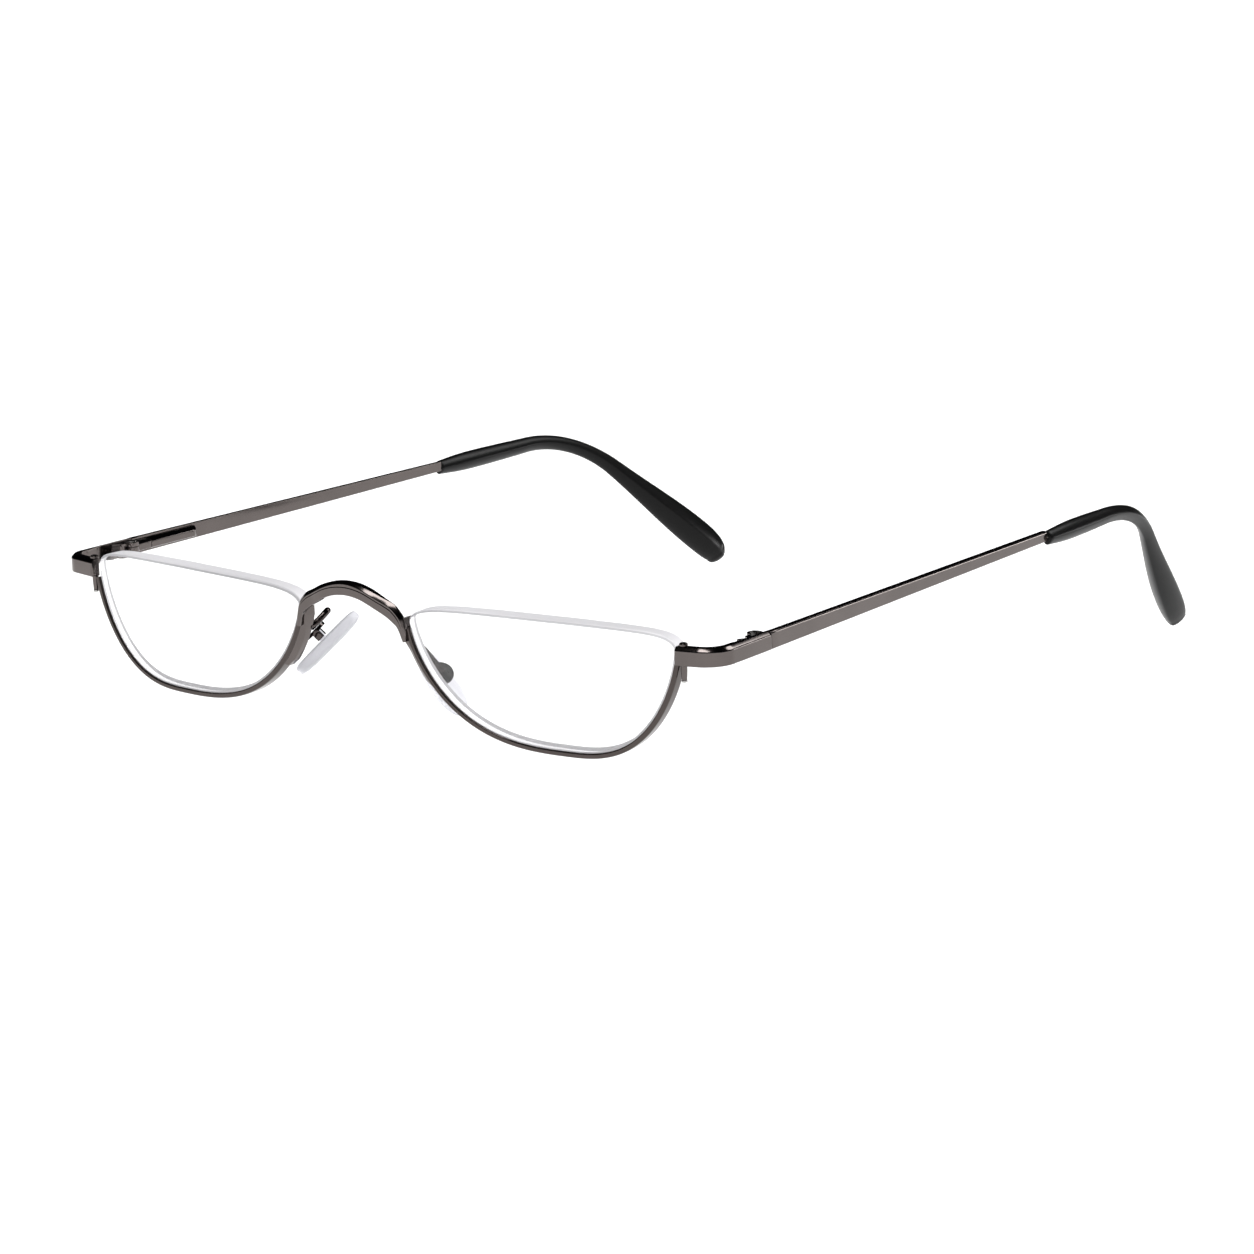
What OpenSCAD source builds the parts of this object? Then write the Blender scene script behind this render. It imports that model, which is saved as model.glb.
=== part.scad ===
// Half-moon reading glasses: metal rims under the lenses only, arched bridge, adjustable nose pads,
// sprung hinges and black tips on the temples.
// The pieces are drawn as the glasses are worn: +X to the wearer's left, +Y back along the temples,
// +Z up, with y = 0 at the lowest point of the rims and z = 0 at the widest line of the lenses.
// standing() then tips the whole frame so that it rests on the rims and the ends of the tips.

/* [Lenses] */
// Lens edge, from its lowest point towards the nose
lens_nose_half = 27.3; // [24:0.1:30]
// Lens edge, from its lowest point towards the temple
lens_temple_half = 19; // [17:0.1:21]
// Depth of the lens below its widest line
lens_drop = 17; // [15:0.1:20]
// Height of the top edge above the widest line
lens_rise = 2.2; // [1.6:0.1:3.5]
// Lens thickness at its optical centre
lens_thick = 3.2; // [2.8:0.1:3.4]
// Radius of the front surface
lens_front_r = 600; // [560:10:900]
// Height of the bevel that sits in the rim's groove
bevel_h = 0.35; // [0.2:0.05:0.4]
// Outward turn of each lens, seen from above
wrap_angle = 6; // [2:0.5:9]

/* [Rims] */
// Radial thickness of the rim
rim_t = 0.85; // [0.8:0.05:1.2]
// Depth of the rim, front to back
rim_d = 2.15; // [2:0.05:2.5]
// Depth of the groove for the lens
groove_depth = 0.42; // [0.42:0.02:0.5]
// Gap between the two rims at the nose
rim_gap = 19.5; // [18:0.1:22]
// Drop from the widest line to the nose end of the rim
rim_nose_end = 1.3; // [1.2:0.1:2]
// Wall of the strap that braces the bridge against the rim
strap_t = 0.75; // [0.6:0.05:0.9]
// Height of the strap's lower end below the widest line
strap_drop = 9.4; // [8.5:0.1:11]
// Height to which the strap stands up behind the bridge, above the rim's end
strap_up = 1.8; // [0.5:0.1:2]

/* [Bridge] */
// Height of the arch's middle line above the widest line of the lenses
bridge_rise = 3.85; // [3.5:0.05:5]
// Radius of the arch
bridge_r = 11.9; // [11.5:0.1:13]
// Angle of the straight shoulders
bridge_slope = 27; // [24:0.5:30]
// Height of the bar at the middle
bridge_h = 2.05; // [1.6:0.05:2.4]
// Depth of the bar at the middle
bridge_d = 1.5; // [1.2:0.05:1.8]

/* [End pieces] */
// Thickness of the front bar
bar_t = 1.5; // [1.3:0.05:1.7]
// Height of the bar
bar_h = 2.75; // [2.65:0.05:2.9]
// Angle at which the front bar sweeps back
bar_sweep = 12; // [8:0.5:14]
// Radius of the outer corner
corner_r = 3; // [2.5:0.1:5]
// Height of the bevel along the top outer edge
bar_bevel = 0.55; // [0.2:0.05:0.7]
// Radius of the rim lock's upper barrel
lock_r = 0.65; // [0.6:0.05:0.8]
// Length of the lower barrel
lock_low_h = 2.2; // [1.8:0.1:2.4]
// Radius of the lock screw's shank
lock_screw_r = 0.22; // [0.2:0.01:0.26]

/* [Hinges] */
// Distance of the hinge screw outside the rim's outer end
hinge_out = 3.9; // [3.2:0.1:4.6]
// Distance of the hinge screw behind the rims' lowest points
pivot_y = 13.8; // [12.5:0.1:15]
// Toe-in of each temple
toe_in = 2.8; // [1.5:0.1:4]
// Radius of the hinge's knuckles
knuckle_r = 1.15; // [1.1:0.05:1.2]
// Height of the whole hinge
hinge_h = 2.4; // [2.3:0.1:2.6]
// Height of the single eye on the temple's side
eye_h = 0.9; // [0.8:0.05:1]
// Radius of the hinge screw's shank
hinge_screw_r = 0.5; // [0.45:0.01:0.55]
// Radius of the hinge screw's head
hinge_head_r = 0.75; // [0.7:0.05:0.8]
// Distance that the spring lets the temple be pulled back
spring_travel = 1; // [0.8:0.1:1.2]
// Coils of the spring
spring_turns = 7; // [5:1:9]

/* [Temples] */
// Height of the hinge and the temples relative to the lenses' widest line
temple_z = -0.6; // [-1:0.1:0]
// Thickness of the temple strip
temple_t = 1; // [0.9:0.05:1.1]
// Height of the strip where it meets the end piece
temple_h_front = 2.65; // [2.5:0.05:2.7]
// Height of the strip where it enters the tip
temple_h_back = 1.6; // [1.4:0.05:1.8]
// Distance from the hinge screw to the butt joint
butt_ahead = 1.1; // [1:0.05:1.3]
// Distance from the hinge screw to the mouth of the right tip
sleeve_start = 73; // [70:0.2:78]

/* [Temple tips] */
// Length of the tip from its mouth to the start of the bend
tip_straight = 22.1; // [18:0.1:24]
// Radius of the bend over the ear
bend_r = 29.8; // [26:0.2:34]
// Angle of the bend
bend_angle = 41; // [36:0.25:45]
// Inward turn of the tip over the bend
tip_inward = 20.3; // [12:0.1:22]
// Turn back outward over the rest of the tip
tip_return = 5; // [0:0.5:6]
// Length from the bend to the last round section
tip_tail = 26; // [22:0.1:28]
// Half height of the tip at its mouth
tip_mouth = 1.12; // [1.1:0.02:1.3]
// Half height of the tip just behind its mouth
tip_grip = 1.55; // [1.4:0.05:1.7]
// Half height of the tip in the bend
tip_waist = 1.22; // [1.15:0.01:1.5]
// Half height of the tip at its broad end
tip_paddle = 2.68; // [2.2:0.02:2.8]
// Half thickness of the tip, as a share of its half height
tip_flat = 0.88; // [0.8:0.01:1]
// Stations by which the left tip is pushed on less far than the right one
left_tip_back = 2; // [0:1:2]
// Drop of the tip's middle below the middle of the strip
tip_drop = 0.3; // [0:0.05:0.35]
// Outward shift of the tip's middle from the middle of the strip
tip_shift = 0.3; // [0:0.05:0.35]

/* [Nose pads] */
// Distance of the pad arm's cup from the middle of the frame
cup_x = 12.75; // [12.4:0.05:13.2]
// Distance of the cup behind the rims' lowest points
cup_y = 2.2; // [2:0.1:3.2]
// Height of the right cup
cup_z = -5.8; // [-6.8:0.1:-5.6]
// How much lower the left pad arm is bent than the right one
left_pad_lower = 3.1; // [0:0.1:3.2]
// Turn of the left pad in its own plane, away from the right one's mirror image
left_pad_turn = 17; // [0:1:18]
// Outward lean of the pads
pad_flare = 46; // [36:1:46]
// Turn of the pads, seen from above
pad_splay = 31; // [26:1:36]
// Length of a pad
pad_len = 13.2; // [11:0.2:14]
// Width of a pad
pad_wide = 5.2; // [5:0.2:7.6]
// Thickness of a pad
pad_thick = 2; // [1.8:0.1:2.4]
// Radius of the pad arm's wire
arm_r = 0.5; // [0.4:0.05:0.6]
// Radius of the cup
cup_r = 1.8; // [1.5:0.05:1.9]
// Radius of the pad screw
pad_screw_r = 0.35; // [0.3:0.01:0.4]

/* [Fits] */
// Clearance between pieces that lie face to face
seat_gap = 0.03; // [0.02:0.01:0.05]
// Radial clearance of a screw in its threaded or plain hole
screw_gap = 0.02; // [0.01:0.01:0.04]
// Radial clearance of a pivot or a sliding rod
running_gap = 0.04; // [0.02:0.01:0.06]
// Side clearance of moving pieces
side_gap = 0.08; // [0.05:0.01:0.12]

/* [Hidden] */
$fn = 48;
gunmetal = [0.46, 0.43, 0.41];
clear_lens = [0.85, 0.9, 0.92, 0.4];
clear_pad = [0.9, 0.9, 0.88, 0.6];
black = [0.08, 0.08, 0.08];
steel = [0.6, 0.6, 0.62];

// Exponents of the lens outline: a flat-bottomed bowl below, a nearly straight edge above
bowl_p = 2.75;
bowl_q = 1.5;
brow_p = 9;
brow_q = 2;
// Extra height of the top edge at its middle, and its fall from the back to the front
brow_bow = 0.3;
brow_slope = 0.15;
lens_steps = 72;
rim_steps = 56;
// Place of the lens's optical centre in its own plane
centre_u = (lens_temple_half - lens_nose_half) / 2;
centre_v = -6;
lens_x = rim_gap / 2 + (lens_nose_half + rim_t) * cos(wrap_angle);
// Outer face of the rim at its temple end, and the middle of the hinge screw outside it
rim_side = lens_x + (lens_temple_half + rim_t) * cos(wrap_angle);
pivot_x = rim_side + hinge_out;
lens_back_w = lens_thick - 1.2;
lens_front_w = lens_back_w - lens_thick;
groove_half = 0.45;
bevel_half = 0.4;
// Height of the crease along the bridge's front, as a share of its half height
crease_at = 0.15;
rim_edge = 0.22;
// The bridge lies against the front of the rims' nose ends
bridge_back = (lens_nose_half + rim_t) * sin(wrap_angle) + rim_d / 2 * cos(wrap_angle) + seat_gap;

function unit(v) = v / norm(v);
function power_of(base, exponent) = sign(base) * pow(abs(base), exponent);

// One point of the lens outline: angle 0 on the temple side, 90 at the bottom, 180 on the nose side
function outline_half(angle) = cos(angle) >= 0 ? lens_temple_half : lens_nose_half;
function outline(angle) =
    let (low = sin(angle) >= 0, p = low ? bowl_p : brow_p, q = low ? bowl_q : brow_q)
    let (u = outline_half(angle) * power_of(cos(angle), 2 / p))
    let (share = pow(abs(sin(angle)), 2 / q))
    [u, low ? -lens_drop * share : lens_rise * share + brow_bow * (1 - pow(u / outline_half(angle), 2))];

// The outward direction at that point
function outline_normal(angle) =
    let (low = sin(angle) >= 0, p = low ? bowl_p : brow_p, q = low ? bowl_q : brow_q)
    let (b = low ? -lens_drop : lens_rise)
    unit([power_of(cos(angle), 2 - 2 / p) * p / outline_half(angle),
        pow(abs(sin(angle)), 2 - 2 / q) * q / b]);

// Angle at which the outline is a given drop below the widest line, on the temple side
function angle_at_drop(drop) = asin(pow(drop / lens_drop, bowl_q / 2));

// Solid through a list of closed rings, capped at both ends; parts splits a hollow cap into convex faces
module loft(rings, parts = []) {
    n = len(rings[0]);
    last = (len(rings) - 1) * n;
    faces = len(parts) > 0 ? parts : [[for (j = [0 : n - 1]) j]];
    sides = [for (i = [0 : len(rings) - 2]) for (j = [0 : n - 1])
        let (a = i * n + j, b = i * n + (j + 1) % n)
        each [[a, b, b + n], [a, b + n, a + n]]];
    first_cap = [for (face = faces) [for (k = [len(face) - 1 : -1 : 0]) face[k]]];
    last_cap = [for (face = faces) [for (j = face) last + j]];
    polyhedron([for (ring = rings) each ring], concat(sides, first_cap, last_cap));
}

// Moves a piece from a lens's own frame (x across, y back, z up) to the left lens's place
module at_lens() {
    translate([lens_x, 0, 0]) rotate([0, 0, wrap_angle]) children();
}

// Moves a piece from the hinge's frame to its place: x outward, y back along the temple
module at_hinge() {
    translate([pivot_x, pivot_y, temple_z]) rotate([0, 0, toe_in]) children();
}

// Outer face, inner face and middle of the temple strip in the hinge's frame
temple_out = knuckle_r + side_gap + temple_t;
temple_in = temple_out - temple_t;
temple_mid = temple_out - temple_t / 2;

// Path of a temple tip in the hinge's frame, as [place, heading, drop, distance from the mouth]
tip_steps = 30;
bend_len = bend_r * bend_angle * PI / 180;
tip_len = tip_straight + bend_len + tip_tail;
function bend_share(s) = max(0, min(1, (s - tip_straight) / bend_len));
function tip_heading(s) = tip_inward * bend_share(s)
    - tip_return * max(0, (s - tip_straight - bend_len) / tip_tail);
function tip_fall(s) = bend_angle * bend_share(s);
function tip_way(s) = [-sin(tip_heading(s)) * cos(tip_fall(s)),
    cos(tip_heading(s)) * cos(tip_fall(s)), -sin(tip_fall(s))];
tip_stride = tip_len / tip_steps;
tip_points = [for (i = 0, p = [temple_mid + tip_shift, sleeve_start, -tip_drop]; i <= tip_steps;
    p = p + tip_stride * tip_way((i + 0.5) * tip_stride), i = i + 1) p];
function tip_side(s) = [cos(tip_heading(s)), sin(tip_heading(s)), 0];
function tip_up(s) = [-sin(tip_heading(s)) * sin(tip_fall(s)), cos(tip_heading(s)) * sin(tip_fall(s)),
    cos(tip_fall(s))];

// Half height of the tip along its length: mouth, grip, waist in the bend, broad end
grip_at = 8;
waist_at = tip_straight + bend_len * 0.38;
paddle_at = tip_len - 5;
function ease(x) = (1 - cos(180 * max(0, min(1, x)))) / 2;
function tip_half(s, mouth_at = 0) =
    s < mouth_at + grip_at ? tip_mouth + (tip_grip - tip_mouth) * sin(90 * (s - mouth_at) / grip_at)
    : s < waist_at ? tip_grip + (tip_waist - tip_grip)
        * ease((s - mouth_at - grip_at) / (waist_at - mouth_at - grip_at))
    : tip_waist + (tip_paddle - tip_waist)
        * ease(pow((s - waist_at) / (paddle_at - waist_at), 1.35));

// Ring round the tip's path at step i, with half height b and half thickness a, pushed on by ahead
tip_sides = 18;
function tip_ring(i, a, b, sides, ahead = 0) =
    let (s = i * tip_stride, c = tip_points[i] + ahead * tip_way(s))
    [for (k = [0 : sides - 1]) let (angle = 360 * k / sides)
        c + a * cos(angle) * tip_side(s) + b * sin(angle) * tip_up(s)];

// The frame stands on the lower front edge of the rims and on the ends of the tips
foot_y = -(rim_d / 2 - rim_edge) * cos(wrap_angle);
foot_z = -(lens_drop + rim_t);
tip_dome = 1.8;
heel_local = tip_points[tip_steps];
heel_y = pivot_y + heel_local[0] * sin(toe_in) + heel_local[1] * cos(toe_in);
heel_z = temple_z + heel_local[2];
heel_r = tip_paddle * 0.93;
foot_to_heel = norm([heel_y - foot_y, heel_z - foot_z]);
stand_angle = atan2(foot_z - heel_z, heel_y - foot_y) + asin(heel_r / foot_to_heel);
bridge_front_y = -(bridge_back + bridge_d);
front_reach = bridge_front_y * cos(stand_angle) - (bridge_rise + bridge_h * crease_at / 2) * sin(stand_angle);
dome_shares = [0.25, 0.6, 0.88];
tip_domes = [for (share = dome_shares) let (b = tip_half(tip_len) * sqrt(1 - share * share))
    tip_ring(tip_steps, b * tip_flat, b, tip_sides, tip_dome * share)];
back_reach = max([for (ring = tip_domes) for (p = ring)
    (pivot_y + p[0] * sin(toe_in) + p[1] * cos(toe_in)) * cos(stand_angle)
        - (temple_z + p[2]) * sin(stand_angle)]);
ground_z = foot_y * sin(stand_angle) + foot_z * cos(stand_angle);

// Tips the frame on to its feet, with the origin on the ground under the middle of the frame
module standing() {
    translate([0, -(front_reach + back_reach) / 2, -ground_z])
        rotate([stand_angle, 0, 0])
            children();
}

module right() {
    mirror([1, 0, 0]) children();
}

// Rim: a grooved band along the lower outline, open at the top
module rim() {
    start = angle_at_drop(bar_h / 2 - temple_z + seat_gap);
    finish = 180 - angle_at_drop(rim_nose_end);
    band = [[0, -rim_d / 2], [rim_t - rim_edge, -rim_d / 2], [rim_t, -rim_d / 2 + rim_edge],
        [rim_t, rim_d / 2 - rim_edge], [rim_t - rim_edge, rim_d / 2], [0, rim_d / 2],
        [0, groove_half], [groove_depth, 0], [0, -groove_half]];
    color(gunmetal) at_lens()
        loft([for (i = [0 : rim_steps]) let (angle = start + (finish - start) * i / rim_steps)
            let (p = outline(angle), n = outline_normal(angle))
            [for (b = band) [p[0] + b[0] * n[0], b[1], p[1] + b[0] * n[1]]]],
            [[0, 1, 2, 7, 8], [2, 3, 7], [3, 4, 5, 6, 7]]);
}

// Lens: flat at the back, bulging at the front, with a bevel where the rim holds it
function lens_ring(inset, share, w_flat, bulge, lift, slope = 0) =
    [for (k = [0 : lens_steps - 1])
        let (angle = 360 * k / lens_steps, p = outline(angle), n = outline_normal(angle))
        let (held = sin(angle) > sin(angle_at_drop(rim_nose_end)) - 0.001 ? 1 : 0)
        let (edge = p + (lift * held - inset - slope * max(0, n[1])) * n)
        let (q = [centre_u, centre_v] + share * (edge - [centre_u, centre_v]))
        let (rho = norm(q - [centre_u, centre_v]))
        [q[0], w_flat + bulge * pow(rho, 2) / (2 * lens_front_r), q[1]]];
module lens() {
    chamfer = 0.25;
    front = [for (share = [1, 0.8, 0.6, 0.4, 0.2, 0.05])
        lens_ring(seat_gap + (share == 1 ? chamfer : 0), share, lens_front_w, 1, 0, brow_slope)];
    color(clear_lens) at_lens()
        loft(concat([lens_ring(seat_gap + chamfer, 1, lens_back_w, 0, 0)],
            [lens_ring(seat_gap, 1, lens_back_w - chamfer, 0, 0)],
            [lens_ring(seat_gap, 1, bevel_half, 0, 0)],
            [lens_ring(seat_gap, 1, 0, 0, bevel_h)],
            [lens_ring(seat_gap, 1, -bevel_half, 0, 0)],
            [lens_ring(seat_gap, 1, lens_front_w + chamfer, 1, 0, brow_slope)],
            front));
}

// Strap: brazed along the outer nose side of the rim, full depth at the top and set back below
module nose_strap() {
    steps = 18;
    start = 180 - angle_at_drop(strap_drop);
    finish = 180 - angle_at_drop(rim_nose_end);
    color(gunmetal) at_lens()
        loft([for (i = [0 : steps + 1]) let (share = min(1, i / steps), lift = i > steps ? strap_up : 0)
            let (angle = start + (finish - start) * share, p = outline(angle), n = outline_normal(angle))
            let (low = rim_t + seat_gap, high = low + strap_t * (0.55 + 0.45 * ease(i / 3)))
            let (front = -0.2 - (rim_d / 2 - 0.2) * ease((share - 0.55) / 0.45), back = rim_d / 2)
            [for (b = [[low, front], [high, front + 0.1], [high, back - 0.1], [low, back]])
                [p[0] + b[0] * n[0], b[1], p[1] + b[0] * n[1] + lift]]]);
}

// Bridge: an arched bar with a crease along its front, running down to the ends of the rims
function bridge_line(s) =
    let (arc = bridge_r * bridge_slope * PI / 180)
    s <= arc ? let (a = s / bridge_r * 180 / PI)
        [bridge_r * sin(a), bridge_rise - bridge_r * (1 - cos(a)), a]
    : let (x = bridge_r * sin(bridge_slope), z = bridge_rise - bridge_r * (1 - cos(bridge_slope)))
        [x + (s - arc) * cos(bridge_slope), z - (s - arc) * sin(bridge_slope), bridge_slope];
module bridge() {
    shoulder = 3.1;
    steps = 16;
    reach = bridge_r * bridge_slope * PI / 180 + shoulder;
    crease = 0.3;
    half = [for (i = [0 : steps])
        let (share = i / steps, line = bridge_line(reach * share), grow = ease((share - 0.5) / 0.5))
        [line[0], line[1], line[2], bridge_h / 2 + 0.1 * grow, bridge_d - 0.85 * grow]];
    // The end turns down to lie on the end of the rim
    foot_x = rim_gap / 2 + 0.1;
    foot_d = bridge_d - 0.85;
    tail = [[foot_x - 0.55, 0.25, 48, 0.98, foot_d], [foot_x - 0.05, -0.75, 68, 0.62, foot_d],
        [foot_x + 0.25, -1.7, 78, 0.45, foot_d], [foot_x + 0.42, -2.5, 80, 0.35, foot_d],
        [foot_x + 0.55, -3.2, 80, 0.22, foot_d]];
    right_half = concat(half, tail);
    count = len(right_half) - 1;
    stations = concat([for (i = [count : -1 : 1]) let (r = right_half[i]) [-r[0], r[1], -r[2], r[3], r[4]]],
        right_half);
    color(gunmetal)
        loft([for (r = stations)
            let (n = [sin(r[2]), cos(r[2])], back = -bridge_back, front = -bridge_back - r[4])
            [for (b = [[-r[3], back], [r[3], back], [r[3], front + crease], [r[3] * crease_at, front],
                    [-r[3] + 0.15, front], [-r[3], front + 0.15]])
                [r[0] + b[0] * n[0], b[1], r[1] + b[0] * n[1]]]]);
}

// End piece: a bar that sweeps out from the rim and turns back to the butt joint, with the upper
// barrel of the rim lock behind it
arm_end = [temple_out, butt_ahead - seat_gap];
bar_low = -bar_h / 2;
bar_high = bar_h / 2;
// The bar starts over the rim's end, with its front face at this depth
bar_root = [rim_side - 0.28, 0.16];
corner_sweep = 90 + toe_in - bar_sweep;
// Centre of the outer corner, in the hinge's frame, where the bar swept back from its root meets the arm
corner_x = temple_out - corner_r;
corner_back = (bar_root[1] - pivot_y - corner_x * sin(toe_in) + corner_r * cos(bar_sweep)
    + (pivot_x - bar_root[0] + corner_x * cos(toe_in) + corner_r * sin(bar_sweep)) * tan(bar_sweep))
    / (cos(toe_in) + sin(toe_in) * tan(bar_sweep));
corner_centre = [corner_x, corner_back];
arm_len = arm_end[1] - corner_back;
bar_start = [pivot_x + corner_centre[0] * cos(toe_in) - corner_centre[1] * sin(toe_in)
        + corner_r * sin(bar_sweep),
    pivot_y + corner_centre[0] * sin(toe_in) + corner_centre[1] * cos(toe_in)
        - corner_r * cos(bar_sweep)];
bar_len = (bar_start[0] - bar_root[0]) / cos(bar_sweep);
// The lock screw stands behind the bar, with a thin skin of the lower barrel between it and the rim
lock_skin = 0.05;
lock_behind = 1.45;
lock_wall = 0.26;
lock_low_r = lock_screw_r + lock_wall;
lock_place = [rim_side + seat_gap + lock_skin + running_gap + lock_screw_r, bar_root[1] + lock_behind];
lock_split = bar_low + temple_z;
module bar_section() {
    polygon([[0, bar_low], [bar_t, bar_low], [bar_t, bar_high - bar_bevel],
        [bar_t - bar_bevel, bar_high], [0, bar_high]]);
}
module end_piece() {
    arm_t = temple_t;
    color(gunmetal) difference() {
        union() {
            at_hinge() {
                difference() {
                    translate([0, 0, bar_low]) linear_extrude(bar_h)
                        polygon([[temple_out - arm_t, arm_end[1]], arm_end, [temple_out, corner_centre[1]],
                            [temple_out - bar_t, corner_centre[1]],
                            [temple_out - arm_t, corner_centre[1] + 4]]);
                    translate([temple_out, arm_end[1] + 1, bar_high]) rotate([90, 0, 0])
                        linear_extrude(arm_len + 1)
                            polygon([[-bar_bevel - 1, 1], [1, 1], [1, -bar_bevel - 1]]);
                }
                translate([corner_centre[0], corner_centre[1], 0])
                    rotate([0, 0, -corner_sweep]) {
                        rotate_extrude(angle = corner_sweep)
                            translate([corner_r - bar_t, 0]) bar_section();
                        // Both ends of the corner run on inside the straight bars
                        translate([corner_r - bar_t + 0.4, -1, bar_low + 0.4])
                            cube([bar_t - 0.8, 2, bar_h / 2]);
                        rotate([0, 0, corner_sweep])
                            translate([corner_r - bar_t + 0.4, -1, bar_low + 0.4])
                                cube([bar_t - 0.8, 2, bar_h / 2]);
                    }
            }
            translate([bar_start[0], bar_start[1], temple_z]) rotate([0, 0, bar_sweep - 90])
                translate([-bar_t, 0, 0]) rotate([90, 0, 0])
                    linear_extrude(bar_len) bar_section();
            translate([lock_place[0], lock_place[1], lock_split])
                cylinder(r = lock_r, h = bar_h + 0.2);
            translate([lock_place[0], lock_place[1], lock_split + bar_h + 0.2])
                cylinder(r1 = lock_r, r2 = lock_r - 0.35, h = 0.3);
        }
        translate([lock_place[0], lock_place[1], lock_split - 1])
            cylinder(r = lock_screw_r + screw_gap, h = bar_h);
    }
}

// Lower barrel of the rim lock, brazed to the outside of the rim's end
module rim_lock() {
    lean = 16;
    taper_h = 1.2;
    color(gunmetal) difference() {
        translate([lock_place[0], lock_place[1], lock_split - side_gap - lock_low_h]) {
            translate([0, 0, taper_h]) cylinder(r = lock_low_r, h = lock_low_h - taper_h);
            cylinder(r1 = lock_low_r - lock_wall / 3, r2 = lock_low_r, h = taper_h);
        }
        translate([lock_place[0], lock_place[1], lock_split - lock_low_h - 1])
            cylinder(r = lock_screw_r + running_gap, h = lock_low_h + 2);
        // The side towards the rim is cut to the rim's slope
        translate([rim_side + seat_gap, 0, lock_split]) rotate([0, lean, wrap_angle])
            translate([-3, -2, -4]) cube([3, 6, 6]);
    }
}

module lock_screw() {
    head_h = 0.35;
    top = bar_h - 1.2;
    color(steel) translate([lock_place[0], lock_place[1], lock_split - side_gap - lock_low_h - head_h])
        difference() {
            union() {
                cylinder(r = lock_low_r - 0.05, h = head_h - seat_gap);
                cylinder(r = lock_screw_r, h = head_h + lock_low_h + side_gap + top);
            }
            translate([-1, -0.12, -0.1]) cube([2, 0.24, 0.28]);
        }
}

// Front half of the hinge: a leaf on the end piece's inner face with two knuckles
leaf_len = 4.6;
head_h = 0.3;
module front_hinge() {
    slot = eye_h + 2 * side_gap;
    color(gunmetal) at_hinge() difference() {
        union() {
            translate([0, 0, -hinge_h / 2]) cylinder(r = knuckle_r, h = hinge_h);
            translate([0, -leaf_len, -hinge_h / 2])
                cube([temple_in - seat_gap, leaf_len, hinge_h]);
            translate([0, 0, -hinge_h / 2])
                cube([temple_in - seat_gap, butt_ahead - 0.2, hinge_h]);
        }
        translate([0, 0, -slot / 2]) cylinder(r = knuckle_r + 0.15, h = slot);
        translate([-2, 0, -slot / 2]) cube([4, 3, slot]);
        translate([0, 0, -3]) cylinder(r = hinge_screw_r + screw_gap, h = 6);
        translate([0, 0, hinge_h / 2 - head_h]) cylinder(r = hinge_head_r + screw_gap, h = 1);
        // The leaf's front end is bevelled
        translate([0, -leaf_len, -3]) rotate([0, 0, -38]) translate([-2, 0, 0]) cube([2, 1.6, 6]);
    }
}

module hinge_screw() {
    color(steel) at_hinge() difference() {
        union() {
            translate([0, 0, -hinge_h / 2]) cylinder(r = hinge_screw_r, h = hinge_h);
            translate([0, 0, hinge_h / 2 - head_h + seat_gap])
                cylinder(r = hinge_head_r, h = head_h + 0.1 - seat_gap);
        }
        translate([-2, -0.12, hinge_h / 2 - 0.08]) cube([4, 0.24, 1]);
    }
}

// Link: the eye on the screw, a head, and a rod that runs into the spring box
head_start = knuckle_r + 0.12;
head_end = 4;
rod_r = 0.24;
rod_x = temple_in - 0.72;
box_start = head_end + 0.12;
box_len = 10.6;
bush_len = 0.8;
bore_r = 0.52;
module box_section(gap) {
    high = 0.95;
    low = 0.5;
    deep = 1.5;
    polygon([[temple_in - gap, -high], [temple_in - gap, high], [temple_in - 0.3, high],
        [temple_in - deep, low], [temple_in - deep, -low], [temple_in - 0.3, -high]]);
}
stop_len = 0.8;
spring_len = 6.4;
rod_end = box_start + bush_len + spring_len + stop_len;
module hinge_link() {
    color(gunmetal) at_hinge() difference() {
        union() {
            translate([0, 0, -eye_h / 2]) cylinder(r = knuckle_r, h = eye_h);
            translate([-0.2, 0, -eye_h / 2]) cube([1, head_start + 0.1, eye_h]);
            translate([0, head_end, 0]) rotate([90, 0, 0]) linear_extrude(head_end - head_start)
                box_section(side_gap);
            translate([rod_x, head_end - 0.1, 0]) rotate([-90, 0, 0])
                cylinder(r = rod_r, h = rod_end - head_end + 0.1);
        }
        translate([0, 0, -3]) cylinder(r = hinge_screw_r + running_gap, h = 6);
    }
}

// Bush in the mouth of the spring box, which guides the rod
module spring_bush() {
    color(steel) at_hinge() translate([rod_x, box_start, 0]) rotate([-90, 0, 0]) difference() {
        cylinder(r = bore_r - screw_gap, h = bush_len);
        translate([0, 0, -1]) cylinder(r = rod_r + running_gap, h = bush_len + 2);
    }
}

// Coil spring on the rod, drawn as long as it is when the temple is pulled and the bush presses it
spring_wire = 0.08;
module coil_spring() {
    sides = 6;
    per_turn = 8;
    coil_r = rod_r + 0.05 + spring_wire;
    count = spring_turns * per_turn;
    run = spring_len - spring_travel - 2 * spring_wire - 2 * seat_gap;
    rise = atan2(run / spring_turns, 2 * PI * coil_r);
    color(steel) at_hinge() translate([rod_x, rod_end - stop_len - run - spring_wire - seat_gap, 0])
        rotate([-90, 0, 0])
            loft([for (i = [0 : count]) let (a = 360 * i / per_turn)
                let (out = [cos(a), sin(a), 0], up = [sin(a) * sin(rise), -cos(a) * sin(rise), cos(rise)])
                [for (k = [0 : sides - 1]) let (b = 360 * k / sides)
                    coil_r * out + [0, 0, run * i / count] + spring_wire * (cos(b) * out + sin(b) * up)]]);
}

// Stop riveted to the end of the rod
module spring_stop() {
    color(steel) at_hinge() translate([rod_x, rod_end - stop_len, 0]) rotate([-90, 0, 0])
        difference() {
            cylinder(r = bore_r - running_gap, h = stop_len);
            translate([0, 0, -1]) cylinder(r = rod_r + screw_gap, h = stop_len + 2);
        }
}

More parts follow.
